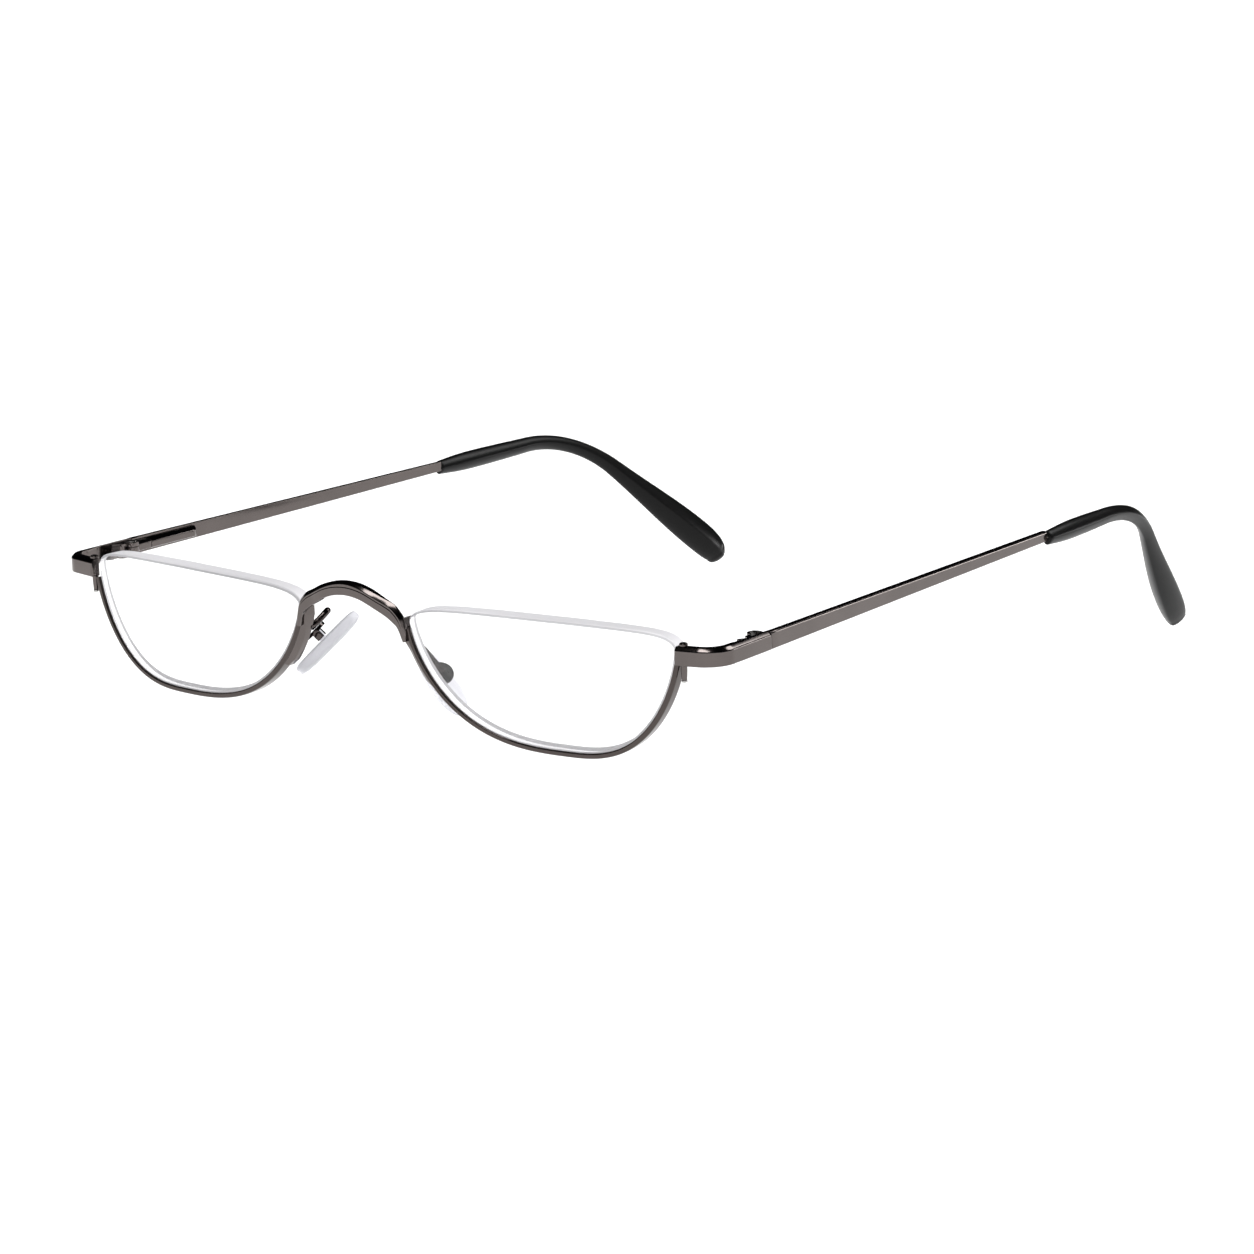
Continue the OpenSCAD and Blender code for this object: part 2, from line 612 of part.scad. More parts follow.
// Spring box: a housing brazed to the inside of the temple, bevelled and rounded off at the back
module spring_box() {
    round_r = 1.4;
    color(gunmetal) at_hinge() difference() {
        intersection() {
            translate([0, box_start + box_len, 0]) rotate([90, 0, 0]) linear_extrude(box_len)
                box_section(seat_gap);
            union() {
                translate([-3, box_start, -3]) cube([6, box_len - round_r, 6]);
                translate([temple_in - 0.05, box_start + box_len - round_r, -3])
                    cylinder(r = round_r + 0.05, h = 6);
            }
        }
        translate([rod_x, box_start - 1, 0]) rotate([-90, 0, 0])
            cylinder(r = bore_r, h = 1 + rod_end - box_start + spring_travel + 0.3);
    }
}

// Temple: a strip that tapers to the back and goes on as a core inside the tip
core_h = 0.6;
core_t = 0.4;
core_steps = tip_steps - 4;
module temple(first) {
    front = butt_ahead + seat_gap;
    back = sleeve_start + first * tip_stride;
    core = [for (i = [first : core_steps]) tip_ring(i, core_t, core_h, 8)];
    color(gunmetal) at_hinge() {
        translate([temple_in, 0, 0]) rotate([90, 0, 90]) linear_extrude(temple_t)
            polygon([[front, -temple_h_front / 2], [back, -temple_h_back / 2],
                [back, temple_h_back / 2], [front, temple_h_front / 2]]);
        loft(concat([[for (p = core[0]) p - [0, 0.5, 0]]], core));
    }
}

// Tip: a moulded sleeve, hollow for the temple's core, with a dome at its end
module temple_tip(first) {
    outer = [for (i = [tip_steps : -1 : first])
        let (b = tip_half(i * tip_stride, first * tip_stride))
        tip_ring(i, b * tip_flat, b, tip_sides, i == first ? seat_gap : 0)];
    inner = [for (i = [first : core_steps])
        tip_ring(i, core_t + seat_gap, core_h + seat_gap, tip_sides, i == first ? seat_gap : 0)];
    pocket_end = tip_ring(core_steps, core_t + seat_gap, core_h + seat_gap, tip_sides, 0.3);
    color(black) at_hinge()
        loft(concat([for (i = [len(tip_domes) - 1 : -1 : 0]) tip_domes[i]], outer, inner, [pocket_end]));
}

// Nose pad arm: a wire from the strap that rises, turns back and drops to the cup
function pad_drop(side_left) = side_left ? left_pad_lower : 0;
function bezier(p, t) = pow(1 - t, 3) * p[0] + 3 * pow(1 - t, 2) * t * p[1] + 3 * (1 - t) * t * t * p[2]
    + pow(t, 3) * p[3];
function bezier_way(p, t) = unit(pow(1 - t, 2) * (p[1] - p[0]) + 2 * (1 - t) * t * (p[2] - p[1])
    + t * t * (p[3] - p[2]));
function wire_ring(points, t, r, sides, across) =
    let (c = bezier(points, t), way = bezier_way(points, t), a = unit(cross(way, across)), b = cross(way, a))
    [for (k = [0 : sides - 1]) let (angle = 360 * k / sides) c + r * (cos(angle) * a + sin(angle) * b)];

// Moves a piece from the pad's frame (x away from the nose, y back, z up) to its place
module at_cup(left) {
    translate([cup_x, cup_y, cup_z - pad_drop(left)])
        rotate([0, 0, -pad_splay]) rotate([0, -pad_flare, 0]) rotate([left ? left_pad_turn : 0, 0, 0])
            children();
}
cup_t = 0.5;
ear_t = 0.4;
ear_len = 1.2;
stem_t = 0.9;
arm_sides = 12;
module pad_arm(left) {
    steps = 9;
    root_drop = 3.2 + 0.4 * pad_drop(left);
    root_angle = 180 - angle_at_drop(root_drop);
    root_in_lens = outline(root_angle) + (rim_t + seat_gap + strap_t / 2) * outline_normal(root_angle);
    root_w = rim_d / 2 + 2 * seat_gap;
    root = [lens_x + root_in_lens[0] * cos(wrap_angle) - root_w * sin(wrap_angle),
        root_in_lens[0] * sin(wrap_angle) + root_w * cos(wrap_angle), root_in_lens[1]];
    cup = [cup_x, cup_y, cup_z - pad_drop(left)];
    top = cup + [-3.2, -0.9, 3.85];
    away = [cos(pad_splay) * cos(pad_flare), -sin(pad_splay) * cos(pad_flare), sin(pad_flare)];
    up = [-cos(pad_splay) * sin(pad_flare), sin(pad_splay) * sin(pad_flare), cos(pad_flare)];
    side = [sin(pad_splay), cos(pad_splay), 0];
    end = cup + (cup_t + arm_r + seat_gap) * away;
    over = unit([0.4, 0.9, left ? -0.3 : 0]);
    first = [root, root + 1.5 * [-sin(wrap_angle), cos(wrap_angle), 0], top - 1.2 * over, top];
    second = [top, top + 0.9 * over, end + 1.7 * up - 1.3 * side, end];
    across = unit([-0.5, 0.2, -1]);
    color(gunmetal)
        loft(concat([for (i = [0 : steps]) wire_ring(first, i / steps, arm_r, arm_sides, across)],
            [for (i = [1 : steps]) wire_ring(second, i / steps, arm_r, arm_sides, across)]));
}

// Cup: a shallow disc with two ears that hold the pad's stem
module pad_cup(left) {
    color(gunmetal) at_cup(left) difference() {
        union() {
            rotate([0, 90, 0]) cylinder(r = cup_r, h = cup_t);
            for (side = [-1, 1])
                translate([-ear_len, side * (stem_t / 2 + side_gap + ear_t / 2) - ear_t / 2, -0.6])
                    cube([ear_len + 0.1, ear_t, 1.2]);
        }
        translate([-ear_len + 0.55, 0, 0]) rotate([90, 0, 0])
            cylinder(r = pad_screw_r + screw_gap, h = 6, center = true);
    }
}

module pad_screw(left) {
    reach = stem_t / 2 + side_gap + ear_t;
    color(steel) at_cup(left) translate([-ear_len + 0.55, 0, 0]) rotate([90, 0, 0]) {
        translate([0, 0, -reach]) cylinder(r = pad_screw_r, h = 2 * reach + seat_gap);
        translate([0, 0, reach + seat_gap]) cylinder(r = pad_screw_r + 0.2, h = 0.25);
    }
}

// Nose pad: a soft rounded pad with a stem that turns on the pad screw
function pad_ring(share, x) =
    [for (k = [0 : 27]) let (angle = 360 * k / 28)
        [x, pad_wide / 2 * share * power_of(cos(angle), 0.9) * (1 - 0.12 * sin(angle)),
            pad_len / 2 * share * power_of(sin(angle), 0.9)]];
module nose_pad(left) {
    face = -ear_len - 0.25;
    color(clear_pad) at_cup(left) difference() {
        union() {
            loft([pad_ring(0.3, face), pad_ring(0.75, face), pad_ring(0.93, face - 0.3),
                pad_ring(1, face - 0.8), pad_ring(0.96, face - 1.3), pad_ring(0.8, face - 1.72),
                pad_ring(0.45, face - pad_thick + 0.03), pad_ring(0.1, face - pad_thick)]);
            translate([face - 0.3, -stem_t / 2, -0.55]) cube([0.3 - face - 0.12, stem_t, 1.1]);
        }
        translate([-ear_len + 0.55, 0, 0]) rotate([90, 0, 0])
            cylinder(r = pad_screw_r + running_gap, h = 2, center = true);
    }
}

standing() bridge();
standing() rim();  // rim_left
standing() lens();  // lens_left
standing() nose_strap();  // nose_strap_left
standing() end_piece();  // end_piece_left
standing() rim_lock();  // rim_lock_left
standing() lock_screw();  // lock_screw_left
standing() front_hinge();  // front_hinge_left
standing() hinge_screw();  // hinge_screw_left
standing() hinge_link();  // hinge_link_left
standing() spring_bush();  // spring_bush_left
standing() coil_spring();  // spring_left
standing() spring_stop();  // spring_stop_left
standing() spring_box();  // spring_box_left
standing() temple(left_tip_back);  // temple_left
standing() temple_tip(left_tip_back);  // temple_tip_left
standing() pad_arm(true);  // pad_arm_left
standing() pad_cup(true);  // pad_cup_left
standing() pad_screw(true);  // pad_screw_left
standing() nose_pad(true);  // nose_pad_left
standing() right() rim();  // rim_right
standing() right() lens();  // lens_right
standing() right() nose_strap();  // nose_strap_right
standing() right() end_piece();  // end_piece_right
standing() right() rim_lock();  // rim_lock_right
standing() right() lock_screw();  // lock_screw_right
standing() right() front_hinge();  // front_hinge_right
standing() right() hinge_screw();  // hinge_screw_right
standing() right() hinge_link();  // hinge_link_right
standing() right() spring_bush();  // spring_bush_right
standing() right() coil_spring();  // spring_right
standing() right() spring_stop();  // spring_stop_right
standing() right() spring_box();  // spring_box_right
standing() right() temple(0);  // temple_right
standing() right() temple_tip(0);  // temple_tip_right
standing() right() pad_arm(false);  // pad_arm_right
standing() right() pad_cup(false);  // pad_cup_right
standing() right() pad_screw(false);  // pad_screw_right
standing() right() nose_pad(false);  // nose_pad_right
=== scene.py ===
# %% [markdown]
# # Half-moon reading glasses
# These are reading glasses whose metal rims run only under the lenses, with an arched bridge, adjustable
# nose pads, sprung hinges and black moulded tips. The solids already stand in their place as a fixed frame.
# This lesson gives them the shapes and finishes that the eye sees: swept rims and tips, clear lenses, soft
# pads and gently broken edges.

import math

import bmesh
import bpy
from mathutils import Matrix, Vector


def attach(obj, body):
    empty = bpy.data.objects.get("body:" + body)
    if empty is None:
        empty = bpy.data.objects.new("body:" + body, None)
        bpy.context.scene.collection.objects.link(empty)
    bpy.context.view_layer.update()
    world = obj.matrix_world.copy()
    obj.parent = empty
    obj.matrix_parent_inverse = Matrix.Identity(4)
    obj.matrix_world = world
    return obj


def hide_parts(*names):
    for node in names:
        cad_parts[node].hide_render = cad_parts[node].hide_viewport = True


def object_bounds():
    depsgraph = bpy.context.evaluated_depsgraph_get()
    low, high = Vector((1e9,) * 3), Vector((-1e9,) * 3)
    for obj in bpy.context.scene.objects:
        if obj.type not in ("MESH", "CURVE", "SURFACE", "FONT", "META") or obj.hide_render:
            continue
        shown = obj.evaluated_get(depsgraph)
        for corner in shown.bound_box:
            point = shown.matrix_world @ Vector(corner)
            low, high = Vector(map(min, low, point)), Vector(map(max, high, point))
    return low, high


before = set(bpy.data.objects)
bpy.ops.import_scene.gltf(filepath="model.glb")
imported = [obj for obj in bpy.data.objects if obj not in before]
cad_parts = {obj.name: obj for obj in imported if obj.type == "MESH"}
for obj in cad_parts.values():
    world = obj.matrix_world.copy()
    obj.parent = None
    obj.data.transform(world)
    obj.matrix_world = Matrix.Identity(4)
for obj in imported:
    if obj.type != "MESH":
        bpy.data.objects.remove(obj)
cad_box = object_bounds()
print("Box of the solids in mm:", [[round(v * 1000, 2) for v in corner] for corner in cad_box])

# %% [markdown]
# The pieces were drawn as the glasses are worn, in millimetres, and then tipped so that they stand on the
# rims and on the ends of the tips. The sizes below are the same ones, so that what is made here lands
# exactly where the solid is. `standing` is worked out in the same way: the line from the rims' foot to the
# round end of a tip becomes the ground.

# %% Sizes in mm, as worn
NOSE_HALF, TEMPLE_HALF, LENS_DROP, LENS_RISE, LENS_T, FRONT_R = 27.3, 19.0, 17.0, 2.2, 3.2, 600.0
BOWL_P, BOWL_Q, BROW_P, BROW_Q, BROW_BOW, BROW_SLOPE = 2.75, 1.5, 9.0, 2.0, 0.3, 0.15
WRAP = 6.0
RIM_T, RIM_D, RIM_EDGE, GROOVE_DEPTH, GROOVE_HALF = 0.85, 2.15, 0.22, 0.42, 0.45
RIM_GAP, RIM_NOSE_END, SEAT_GAP = 19.5, 1.3, 0.03
LENS_X = RIM_GAP / 2 + (NOSE_HALF + RIM_T) * math.cos(math.radians(WRAP))
RIM_SIDE = LENS_X + (TEMPLE_HALF + RIM_T) * math.cos(math.radians(WRAP))
BAR_H = 2.75
PIVOT = Vector((RIM_SIDE + 3.9, 13.8, -0.6))
TOE_IN = 2.8
TEMPLE_MID = 1.73
BRIDGE = {"rise": 3.85, "r": 11.9, "slope": 27.0, "h": 2.05, "d": 1.5, "crease": 0.15, "step": 0.1,
          "chamfer": 0.33}


def turned(angle, axis):
    return Matrix.Rotation(math.radians(angle), 4, axis)


at_lens = Matrix.Translation((LENS_X, 0, 0)) @ turned(WRAP, "Z")
at_hinge = Matrix.Translation(PIVOT) @ turned(TOE_IN, "Z")
mirrored = Matrix.Diagonal((-1, 1, 1, 1))
print("Left lens at x =", round(LENS_X, 2), "mm, left hinge screw at x =", round(PIVOT.x, 2), "mm")

# %% [markdown]
# ## The path of a temple tip
# A tip is a moulded sleeve that runs straight over the end of the temple and then bends down behind the
# ear and in towards the head. Its path is walked in thirty steps, each in the direction that the bend has
# reached, and a smooth curve through the thirty-one points gives as many places as the eye needs.

# %% Walk along the tip
# The place where the right tip starts, and the lengths and angles of its path
TIP_START, TIP_SHIFT, TIP_DROP = 73.0, 0.3, 0.3
STRAIGHT, BEND_R, BEND, INWARD, TAIL, BACK_OUT = 22.1, 29.8, 41.0, 20.3, 26.0, 5.0
TIP_STEPS = 30
BEND_LEN = BEND_R * math.radians(BEND)
TIP_LEN = STRAIGHT + BEND_LEN + TAIL
STRIDE = TIP_LEN / TIP_STEPS
# The left tip is pushed less far onto its temple
MOUTH_AT = {"left": 2 * STRIDE, "right": 0.0}


def tip_way(s):
    share = max(0.0, min(1.0, (s - STRAIGHT) / BEND_LEN))
    past = max(0.0, (s - STRAIGHT - BEND_LEN) / TAIL)
    heading = math.radians(INWARD * share - BACK_OUT * past)
    fall = math.radians(BEND * share)
    return Vector((-math.sin(heading) * math.cos(fall), math.cos(heading) * math.cos(fall), -math.sin(fall)))


tip_stations = [Vector((TEMPLE_MID + TIP_SHIFT, TIP_START, -TIP_DROP))]
for step in range(TIP_STEPS):
    tip_stations.append(tip_stations[-1] + STRIDE * tip_way((step + 0.5) * STRIDE))
print("Tip is", round(TIP_LEN, 1), "mm long and ends at", [round(v, 2) for v in tip_stations[-1]])

# %% Work out how the frame stands
# Half the height of a paddle, and the share of it that is left where its round end touches the ground
PADDLE, HEEL_SHARE = 2.68, 0.93
wrap = math.radians(WRAP)
foot_y, foot_z = -(RIM_D / 2 - RIM_EDGE) * math.cos(wrap), -(LENS_DROP + RIM_T)
heel = at_hinge @ tip_stations[-1]
to_heel = math.hypot(heel.y - foot_y, heel.z - foot_z)
stand = math.atan2(foot_z - heel.z, heel.y - foot_y) + math.asin(PADDLE * HEEL_SHARE / to_heel)
ground_z = foot_y * math.sin(stand) + foot_z * math.cos(stand)
front_y = -((NOSE_HALF + RIM_T) * math.sin(wrap) + RIM_D / 2 * math.cos(wrap) + SEAT_GAP + BRIDGE["d"])
front_reach = front_y * math.cos(stand) - (BRIDGE["rise"] + BRIDGE["h"] * BRIDGE["crease"] / 2) * math.sin(stand)
lean = Matrix.Rotation(stand, 4, "X")
back_reach = cad_box[1].y * 1000 - cad_box[0].y * 1000 + front_reach
standing = Matrix.Scale(0.001, 4) @ Matrix.Translation((0, -(front_reach + back_reach) / 2, -ground_z)) @ lean
print("The frame leans back by", round(math.degrees(stand), 3), "degrees")

# %% [markdown]
# ## Nodes and colours
# A material or a node tree is built from nodes, so one function adds a node with its settings and its links.
# Of a node that is given as a value the first output is linked. Colours are written as the hex values that a
# colour picker shows, and turned to the linear values that the renderer wants.

# %% Helpers for nodes and colours
MATH = "ShaderNodeMath"


def feed(tree, node, inputs):
    """Sets or links the inputs of a node, given by name or in their order."""
    for key, value in inputs.items() if isinstance(inputs, dict) else enumerate(inputs):
        if isinstance(value, bpy.types.Node):
            value = value.outputs[0]
        if isinstance(value, bpy.types.NodeSocket):
            tree.links.new(value, node.inputs[key])
        else:
            node.inputs[key].default_value = value


def add(tree, kind, inputs=(), **settings):
    """Adds a node with its settings and its links."""
    made = tree.nodes.new(kind)
    for key, value in settings.items():
        setattr(made, key, value)
    feed(tree, made, inputs)
    return made


def linear(hex_colour):
    parts = [int(hex_colour[i:i + 2], 16) / 255 for i in (1, 3, 5)]
    return [c / 12.92 if c <= 0.04045 else ((c + 0.055) / 1.055) ** 2.4 for c in parts] + [1.0]


print("The grey #808080 is", round(linear("#808080")[0], 3), "in linear light")

# %% [markdown]
# ## Finished pieces
# Each piece is drawn in millimetres, where it is easiest to describe, as one of the left side. `finish_piece`
# moves its mesh to its place in the frame, mirrored for the right side, and hides the solid that it replaces. An
# object with modifiers is turned into a plain mesh first, by `baked`.

# %% Helpers for finished pieces
def new_object(name, data):
    made = bpy.data.objects.new(name, data)
    bpy.context.scene.collection.objects.link(made)
    return made


def baked(holder):
    """The mesh that an object shows with its modifiers, after which the holder is removed."""
    bpy.context.view_layer.update()
    depsgraph = bpy.context.evaluated_depsgraph_get()
    mesh = bpy.data.meshes.new_from_object(holder.evaluated_get(depsgraph), depsgraph=depsgraph)
    bpy.data.objects.remove(holder)
    return mesh


def finish_piece(name, mesh, place, nodes, materials, body="front", sharp=35):
    """Moves a mesh drawn in mm to its place in the frame, as an object that stands for CAD nodes."""
    mesh.transform(place)
    if place.determinant() < 0:
        mesh.flip_normals()
    mesh.materials.clear()
    for material in materials:
        mesh.materials.append(material)
    mesh.shade_smooth()
    mesh.set_sharp_from_angle(angle=math.radians(sharp))
    mesh.name = name
    piece = new_object(name, mesh)
    # The photograph is lit so evenly that no piece darkens the table
    piece.visible_shadow = piece.visible_diffuse = False
    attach(piece, body)
    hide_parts(*nodes)
    return piece


SIDES = [("left", Matrix.Identity(4)), ("right", mirrored)]
print("Helpers are ready for", len(SIDES), "sides")

# %% [markdown]
# ## Gunmetal plating
# The frame is nickel silver, drawn as wire and strip, polished and plated in a dark gunmetal tone. Plating
# follows the polished surface, so it mirrors its surroundings a little blurred: the faces that look down
# show the pale table, and those that look up show the dark room. Polishing leaves very fine hairlines, about
# 0.1 mm apart, drawn here at 0.25 mm so that they show. Handling leaves faint duller patches some 6 mm wide.

# %% Gunmetal plating
def new_material(name):
    """A material with its tree, its shader and the place that its patterns read."""
    material = bpy.data.materials.new(name)
    material.use_nodes = True
    tree = material.node_tree
    return material, tree, tree.nodes["Principled BSDF"], add(tree, "ShaderNodeTexCoord").outputs["Object"]


def metal(name, colour, roughness, hairline_mm=0.25, hairline_depth=0.004, patch_mm=6.0, stretch=(1, 1, 1)):
    material, tree, shader, where = new_material(name)
    along = add(tree, "ShaderNodeMapping", {"Vector": where, "Scale": stretch})
    patches = add(tree, "ShaderNodeTexNoise", {"Vector": where, "Scale": 1000 / patch_mm, "Detail": 3.0})
    tone = add(tree, "ShaderNodeValToRGB", [patches])
    for stop, place, share in zip(tone.color_ramp.elements, (0.3, 0.7), (0.93, 1.05)):
        stop.position, stop.color = place, [c * share for c in linear(colour)[:3]] + [1]
    dull = add(tree, "ShaderNodeMapRange", {
        "Value": patches, "From Min": 0.3, "From Max": 0.7, "To Min": roughness * 0.8, "To Max": roughness * 1.25})
    lines = add(tree, "ShaderNodeTexNoise", {"Vector": along, "Scale": 1000 / hairline_mm, "Detail": 2.0})
    relief = add(tree, "ShaderNodeBump", {"Height": lines, "Strength": 0.06, "Distance": hairline_depth / 1000})
    feed(tree, shader, {"Metallic": 1.0, "Base Color": tone, "Roughness": dull, "Normal": relief})
    print("Material", name, "with hairlines of", hairline_mm, "mm")
    return material


gunmetal_front = metal("gunmetal_plated_front", "#605A58", 0.13, stretch=(0.15, 1, 1))
gunmetal_temple = metal("gunmetal_plated_temple", "#615B59", 0.14, stretch=(1, 0.08, 1))
# The wire has the same plating as the rest but is painted darker: painted shade for the shade under the rims where
# they meet the table, and for the cup and arms seen behind the lens.
gunmetal_wire_painted_shade = metal("gunmetal_plated_wire_painted_shade", "#4B4543", 0.14)

# %% [markdown]
# ## Stainless screws and spring steel
# The small screws are turned from stainless steel, brighter and cooler than the plating, with the fine rings
# that the lathe leaves. The springs, bushes and stops inside the hinges are plain drawn steel.

# %% Stainless screws and spring steel
turned_steel = metal("turned_stainless_steel", "#9C9A98", 0.2, hairline_mm=0.12, hairline_depth=0.006, patch_mm=1.5)
drawn_steel = metal("drawn_spring_steel", "#8E8C89", 0.28, hairline_mm=0.15, patch_mm=2.0)

# %% [markdown]
# ## Lens resin
# Half-moon readers have lenses cast in a hard clear resin with an index of about 1.5. Both faces are
# polished, so they are nearly invisible on a pale ground. The rim of the lens is ground on a wheel: it
# scatters the light and shows as a pale band, which is what gives the lens its outline. The two narrow
# chamfers beside it are turned away from the light. That shade is painted into their colour as a greyer tone, so each
# draws a greyer line.

# %% Lens resin
def clear(name, colour, roughness, ior, grain_mm, depth_mm, passes=1.0):
    material, tree, shader, where = new_material(name)
    grain = add(tree, "ShaderNodeTexNoise", {"Vector": where, "Scale": 1000 / grain_mm, "Detail": 2.0})
    haze = add(tree, "ShaderNodeMapRange", {"Value": grain, "To Min": roughness * 0.8, "To Max": roughness * 1.2})
    relief = add(tree, "ShaderNodeBump", {"Height": grain, "Strength": 0.1, "Distance": depth_mm / 1000})
    feed(tree, shader, {"Base Color": linear(colour), "Transmission Weight": passes, "IOR": ior,
                        "Roughness": haze, "Normal": relief})
    print("Material", name, "with index", ior)
    return material


lens_face = clear("cast_lens_resin_polished", "#FFFFFF", 0.0, 1.5, 20.0, 0.0005)
lens_edge = clear("cast_lens_resin_ground_edge", "#D0CFD2", 0.5, 1.5, 0.15, 0.01, passes=0.3)
# The chamfers' finish is their own, but their greyer colour is painted shade, because they are turned away from the
# light.
lens_chamfer_painted_shade = clear("cast_lens_resin_chamfer_painted_shade", "#B4B3B6", 0.4, 1.5, 0.15, 0.01, passes=0.2)
soft_pad = clear("moulded_milky_silicone", "#C4C4C9", 0.4, 1.41, 0.8, 0.01, passes=0.35)

# %% [markdown]
# ## Moulded black tips
# The tips are cellulose propionate, moulded in black and tumbled with wood chips until they shine softly.
# Tumbling leaves a skin with a very slight orange peel about 1.5 mm across and tiny scuffs that catch light.

# %% Moulded black tips
black_tip, tree, shader, where = new_material("tumbled_black_propionate")
peel = add(tree, "ShaderNodeTexNoise", {"Vector": where, "Scale": 1000 / 1.5, "Detail": 1.0})
scuff = add(tree, "ShaderNodeTexNoise", {"Vector": where, "Scale": 1000 / 0.2, "Detail": 4.0})
tone = add(tree, "ShaderNodeValToRGB", [scuff])
for stop, colour in zip(tone.color_ramp.elements, ("#060606", "#0E0E0E")):
    stop.color = linear(colour)
dull = add(tree, "ShaderNodeMapRange", {"Value": scuff, "To Min": 0.24, "To Max": 0.36})
relief = add(tree, "ShaderNodeBump", {"Height": peel, "Strength": 0.15, "Distance": 0.00003})
# The resin's index is 1.47, but the photograph's tips shine less than that would give
feed(tree, shader, {"IOR": 1.3, "Specular IOR Level": 0.3, "Base Color": tone, "Roughness": dull, "Normal": relief})
print("Material", black_tip.name)

# %% [markdown]
# ## The rims
# A rim is wire with a groove rolled into its inner side, bent round the lower edge of the lens. It could be
# copied from the solid, but its outline is a rule, a bowl-shaped curve with two exponents, so Geometry Nodes
# can draw it. The tree makes a line of points, moves each to its place on the outline, and sweeps the
# profile of the wire along it. The profile comes in as the tree's geometry, and a small fillet rounds it.

# %% The start and the end of a tree
def tree_inputs(name, inputs):
    tree = bpy.data.node_groups.new(name, "GeometryNodeTree")
    tree.is_modifier = True
    tree.interface.new_socket("Geometry", in_out="INPUT", socket_type="NodeSocketGeometry")
    for label, kind, value in inputs:
        made = tree.interface.new_socket(label, in_out="INPUT", socket_type=kind)
        if value is not None:
            made.default_value = value
    tree.interface.new_socket("Geometry", in_out="OUTPUT", socket_type="NodeSocketGeometry")
    return tree


def ending(tree, geometry, given):
    real = add(tree, "GeometryNodeRealizeInstances", [geometry])
    dressed = add(tree, "GeometryNodeSetMaterial", {"Geometry": real, "Material": given["Material"]})
    add(tree, "NodeGroupOutput", [dressed])


print("Each tree ends in Realize Instances and Set Material")

# %% A tree that sweeps a profile along the lens outline
rim_tree = tree = tree_inputs("sweep_along_lens_outline", [
    ("Nose half", "NodeSocketFloat", NOSE_HALF), ("Temple half", "NodeSocketFloat", TEMPLE_HALF),
    ("Drop", "NodeSocketFloat", LENS_DROP), ("Exponent across", "NodeSocketFloat", BOWL_P),
    ("Exponent down", "NodeSocketFloat", BOWL_Q), ("Start angle", "NodeSocketFloat", 0.3),
    ("Finish angle", "NodeSocketFloat", 3.0), ("Steps", "NodeSocketInt", 200),
    ("Fillet", "NodeSocketFloat", 0.02), ("Material", "NodeSocketMaterial", None)])
given = add(tree, "NodeGroupInput").outputs
last = add(tree, MATH, (given["Steps"], 1.0), operation="SUBTRACT")
along = add(tree, MATH, (add(tree, "GeometryNodeInputIndex"), last), operation="DIVIDE")
span = add(tree, MATH, (given["Finish angle"], given["Start angle"]), operation="SUBTRACT")
angle = add(tree, MATH, (along, span, given["Start angle"]), operation="MULTIPLY_ADD")
across = add(tree, MATH, [angle], operation="COSINE")
down = add(tree, MATH, [angle], operation="SINE")
powers = []
for way, exponent in (across, given["Exponent across"]), (down, given["Exponent down"]):
    part = add(tree, MATH, [way], operation="ABSOLUTE")
    power = add(tree, MATH, (2.0, exponent), operation="DIVIDE")
    powers.append(add(tree, MATH, (part, power), operation="POWER"))
to_temple = add(tree, MATH, (across, 0.0), operation="GREATER_THAN")
half = add(tree, "GeometryNodeSwitch", {
    "Switch": to_temple, "False": given["Nose half"], "True": given["Temple half"]}, input_type="FLOAT")
reach = add(tree, MATH, (powers[0], half), operation="MULTIPLY")
place_u = add(tree, MATH, (reach, add(tree, MATH, [across], operation="SIGN")), operation="MULTIPLY")
fall = add(tree, MATH, (powers[1], given["Drop"]), operation="MULTIPLY")
place_v = add(tree, MATH, (fall, -1.0), operation="MULTIPLY")
place = add(tree, "ShaderNodeCombineXYZ", (place_u, place_v))
points = add(tree, "GeometryNodeMeshLine", {"Count": given["Steps"]})
outline_points = add(tree, "GeometryNodeSetPosition", {"Geometry": points, "Position": place})
path = add(tree, "GeometryNodeMeshToCurve", {"Mesh": outline_points})
flat_path = add(tree, "GeometryNodeSetCurveNormal", {"Curve": path}, mode="Z_UP")
rounded = add(tree, "GeometryNodeFilletCurve", {
    "Curve": given["Geometry"], "Count": 3, "Radius": given["Fillet"], "Limit Radius": True}, mode="POLY")
swept = add(tree, "GeometryNodeCurveToMesh", {"Curve": flat_path, "Profile Curve": rounded, "Fill Caps": True})
ending(tree, swept, given)
print("Tree", rim_tree.name, "with", len(rim_tree.nodes), "nodes")

# %% [markdown]
# A tree works on a curve, and its result is baked to a plain mesh. Its doubled points are merged and its faces
# turned outward, because a face that points inward would spoil the shading.

# %% Grow a mesh from a curve
def opened(mesh):
    shape = bmesh.new()
    shape.from_mesh(mesh)
    return shape


def closed(shape, mesh):
    shape.to_mesh(mesh)
    shape.free()
    return mesh


def outward(mesh):
    shape = opened(mesh)
    bmesh.ops.remove_doubles(shape, verts=shape.verts, dist=0.0005)
    bmesh.ops.recalc_face_normals(shape, faces=shape.faces)
    return closed(shape, mesh)


def drawn_curve(points, radii=None):
    """A closed profile, or an open path where radii are given."""
    curve = bpy.data.curves.new("profile", "CURVE")
    curve.dimensions = "3D"
    spline = curve.splines.new("POLY")
    spline.points.add(len(points) - 1)
    for i, p in enumerate(points):
        spline.points[i].co = (p[0], p[1], p[2] if len(p) > 2 else 0.0, 1.0)
        spline.points[i].radius = radii[i] if radii else 1.0
    spline.use_cyclic_u = radii is None
    return new_object("profile", curve)


def grown(holder, tree, values):
    modifier = holder.modifiers.new("grow", "NODES")
    modifier.node_group = tree
    for item in tree.interface.items_tree:
        if item.in_out == "INPUT" and item.name in values:
            modifier[item.identifier] = values[item.name]
    return outward(baked(holder))


print("Curves can grow into meshes")

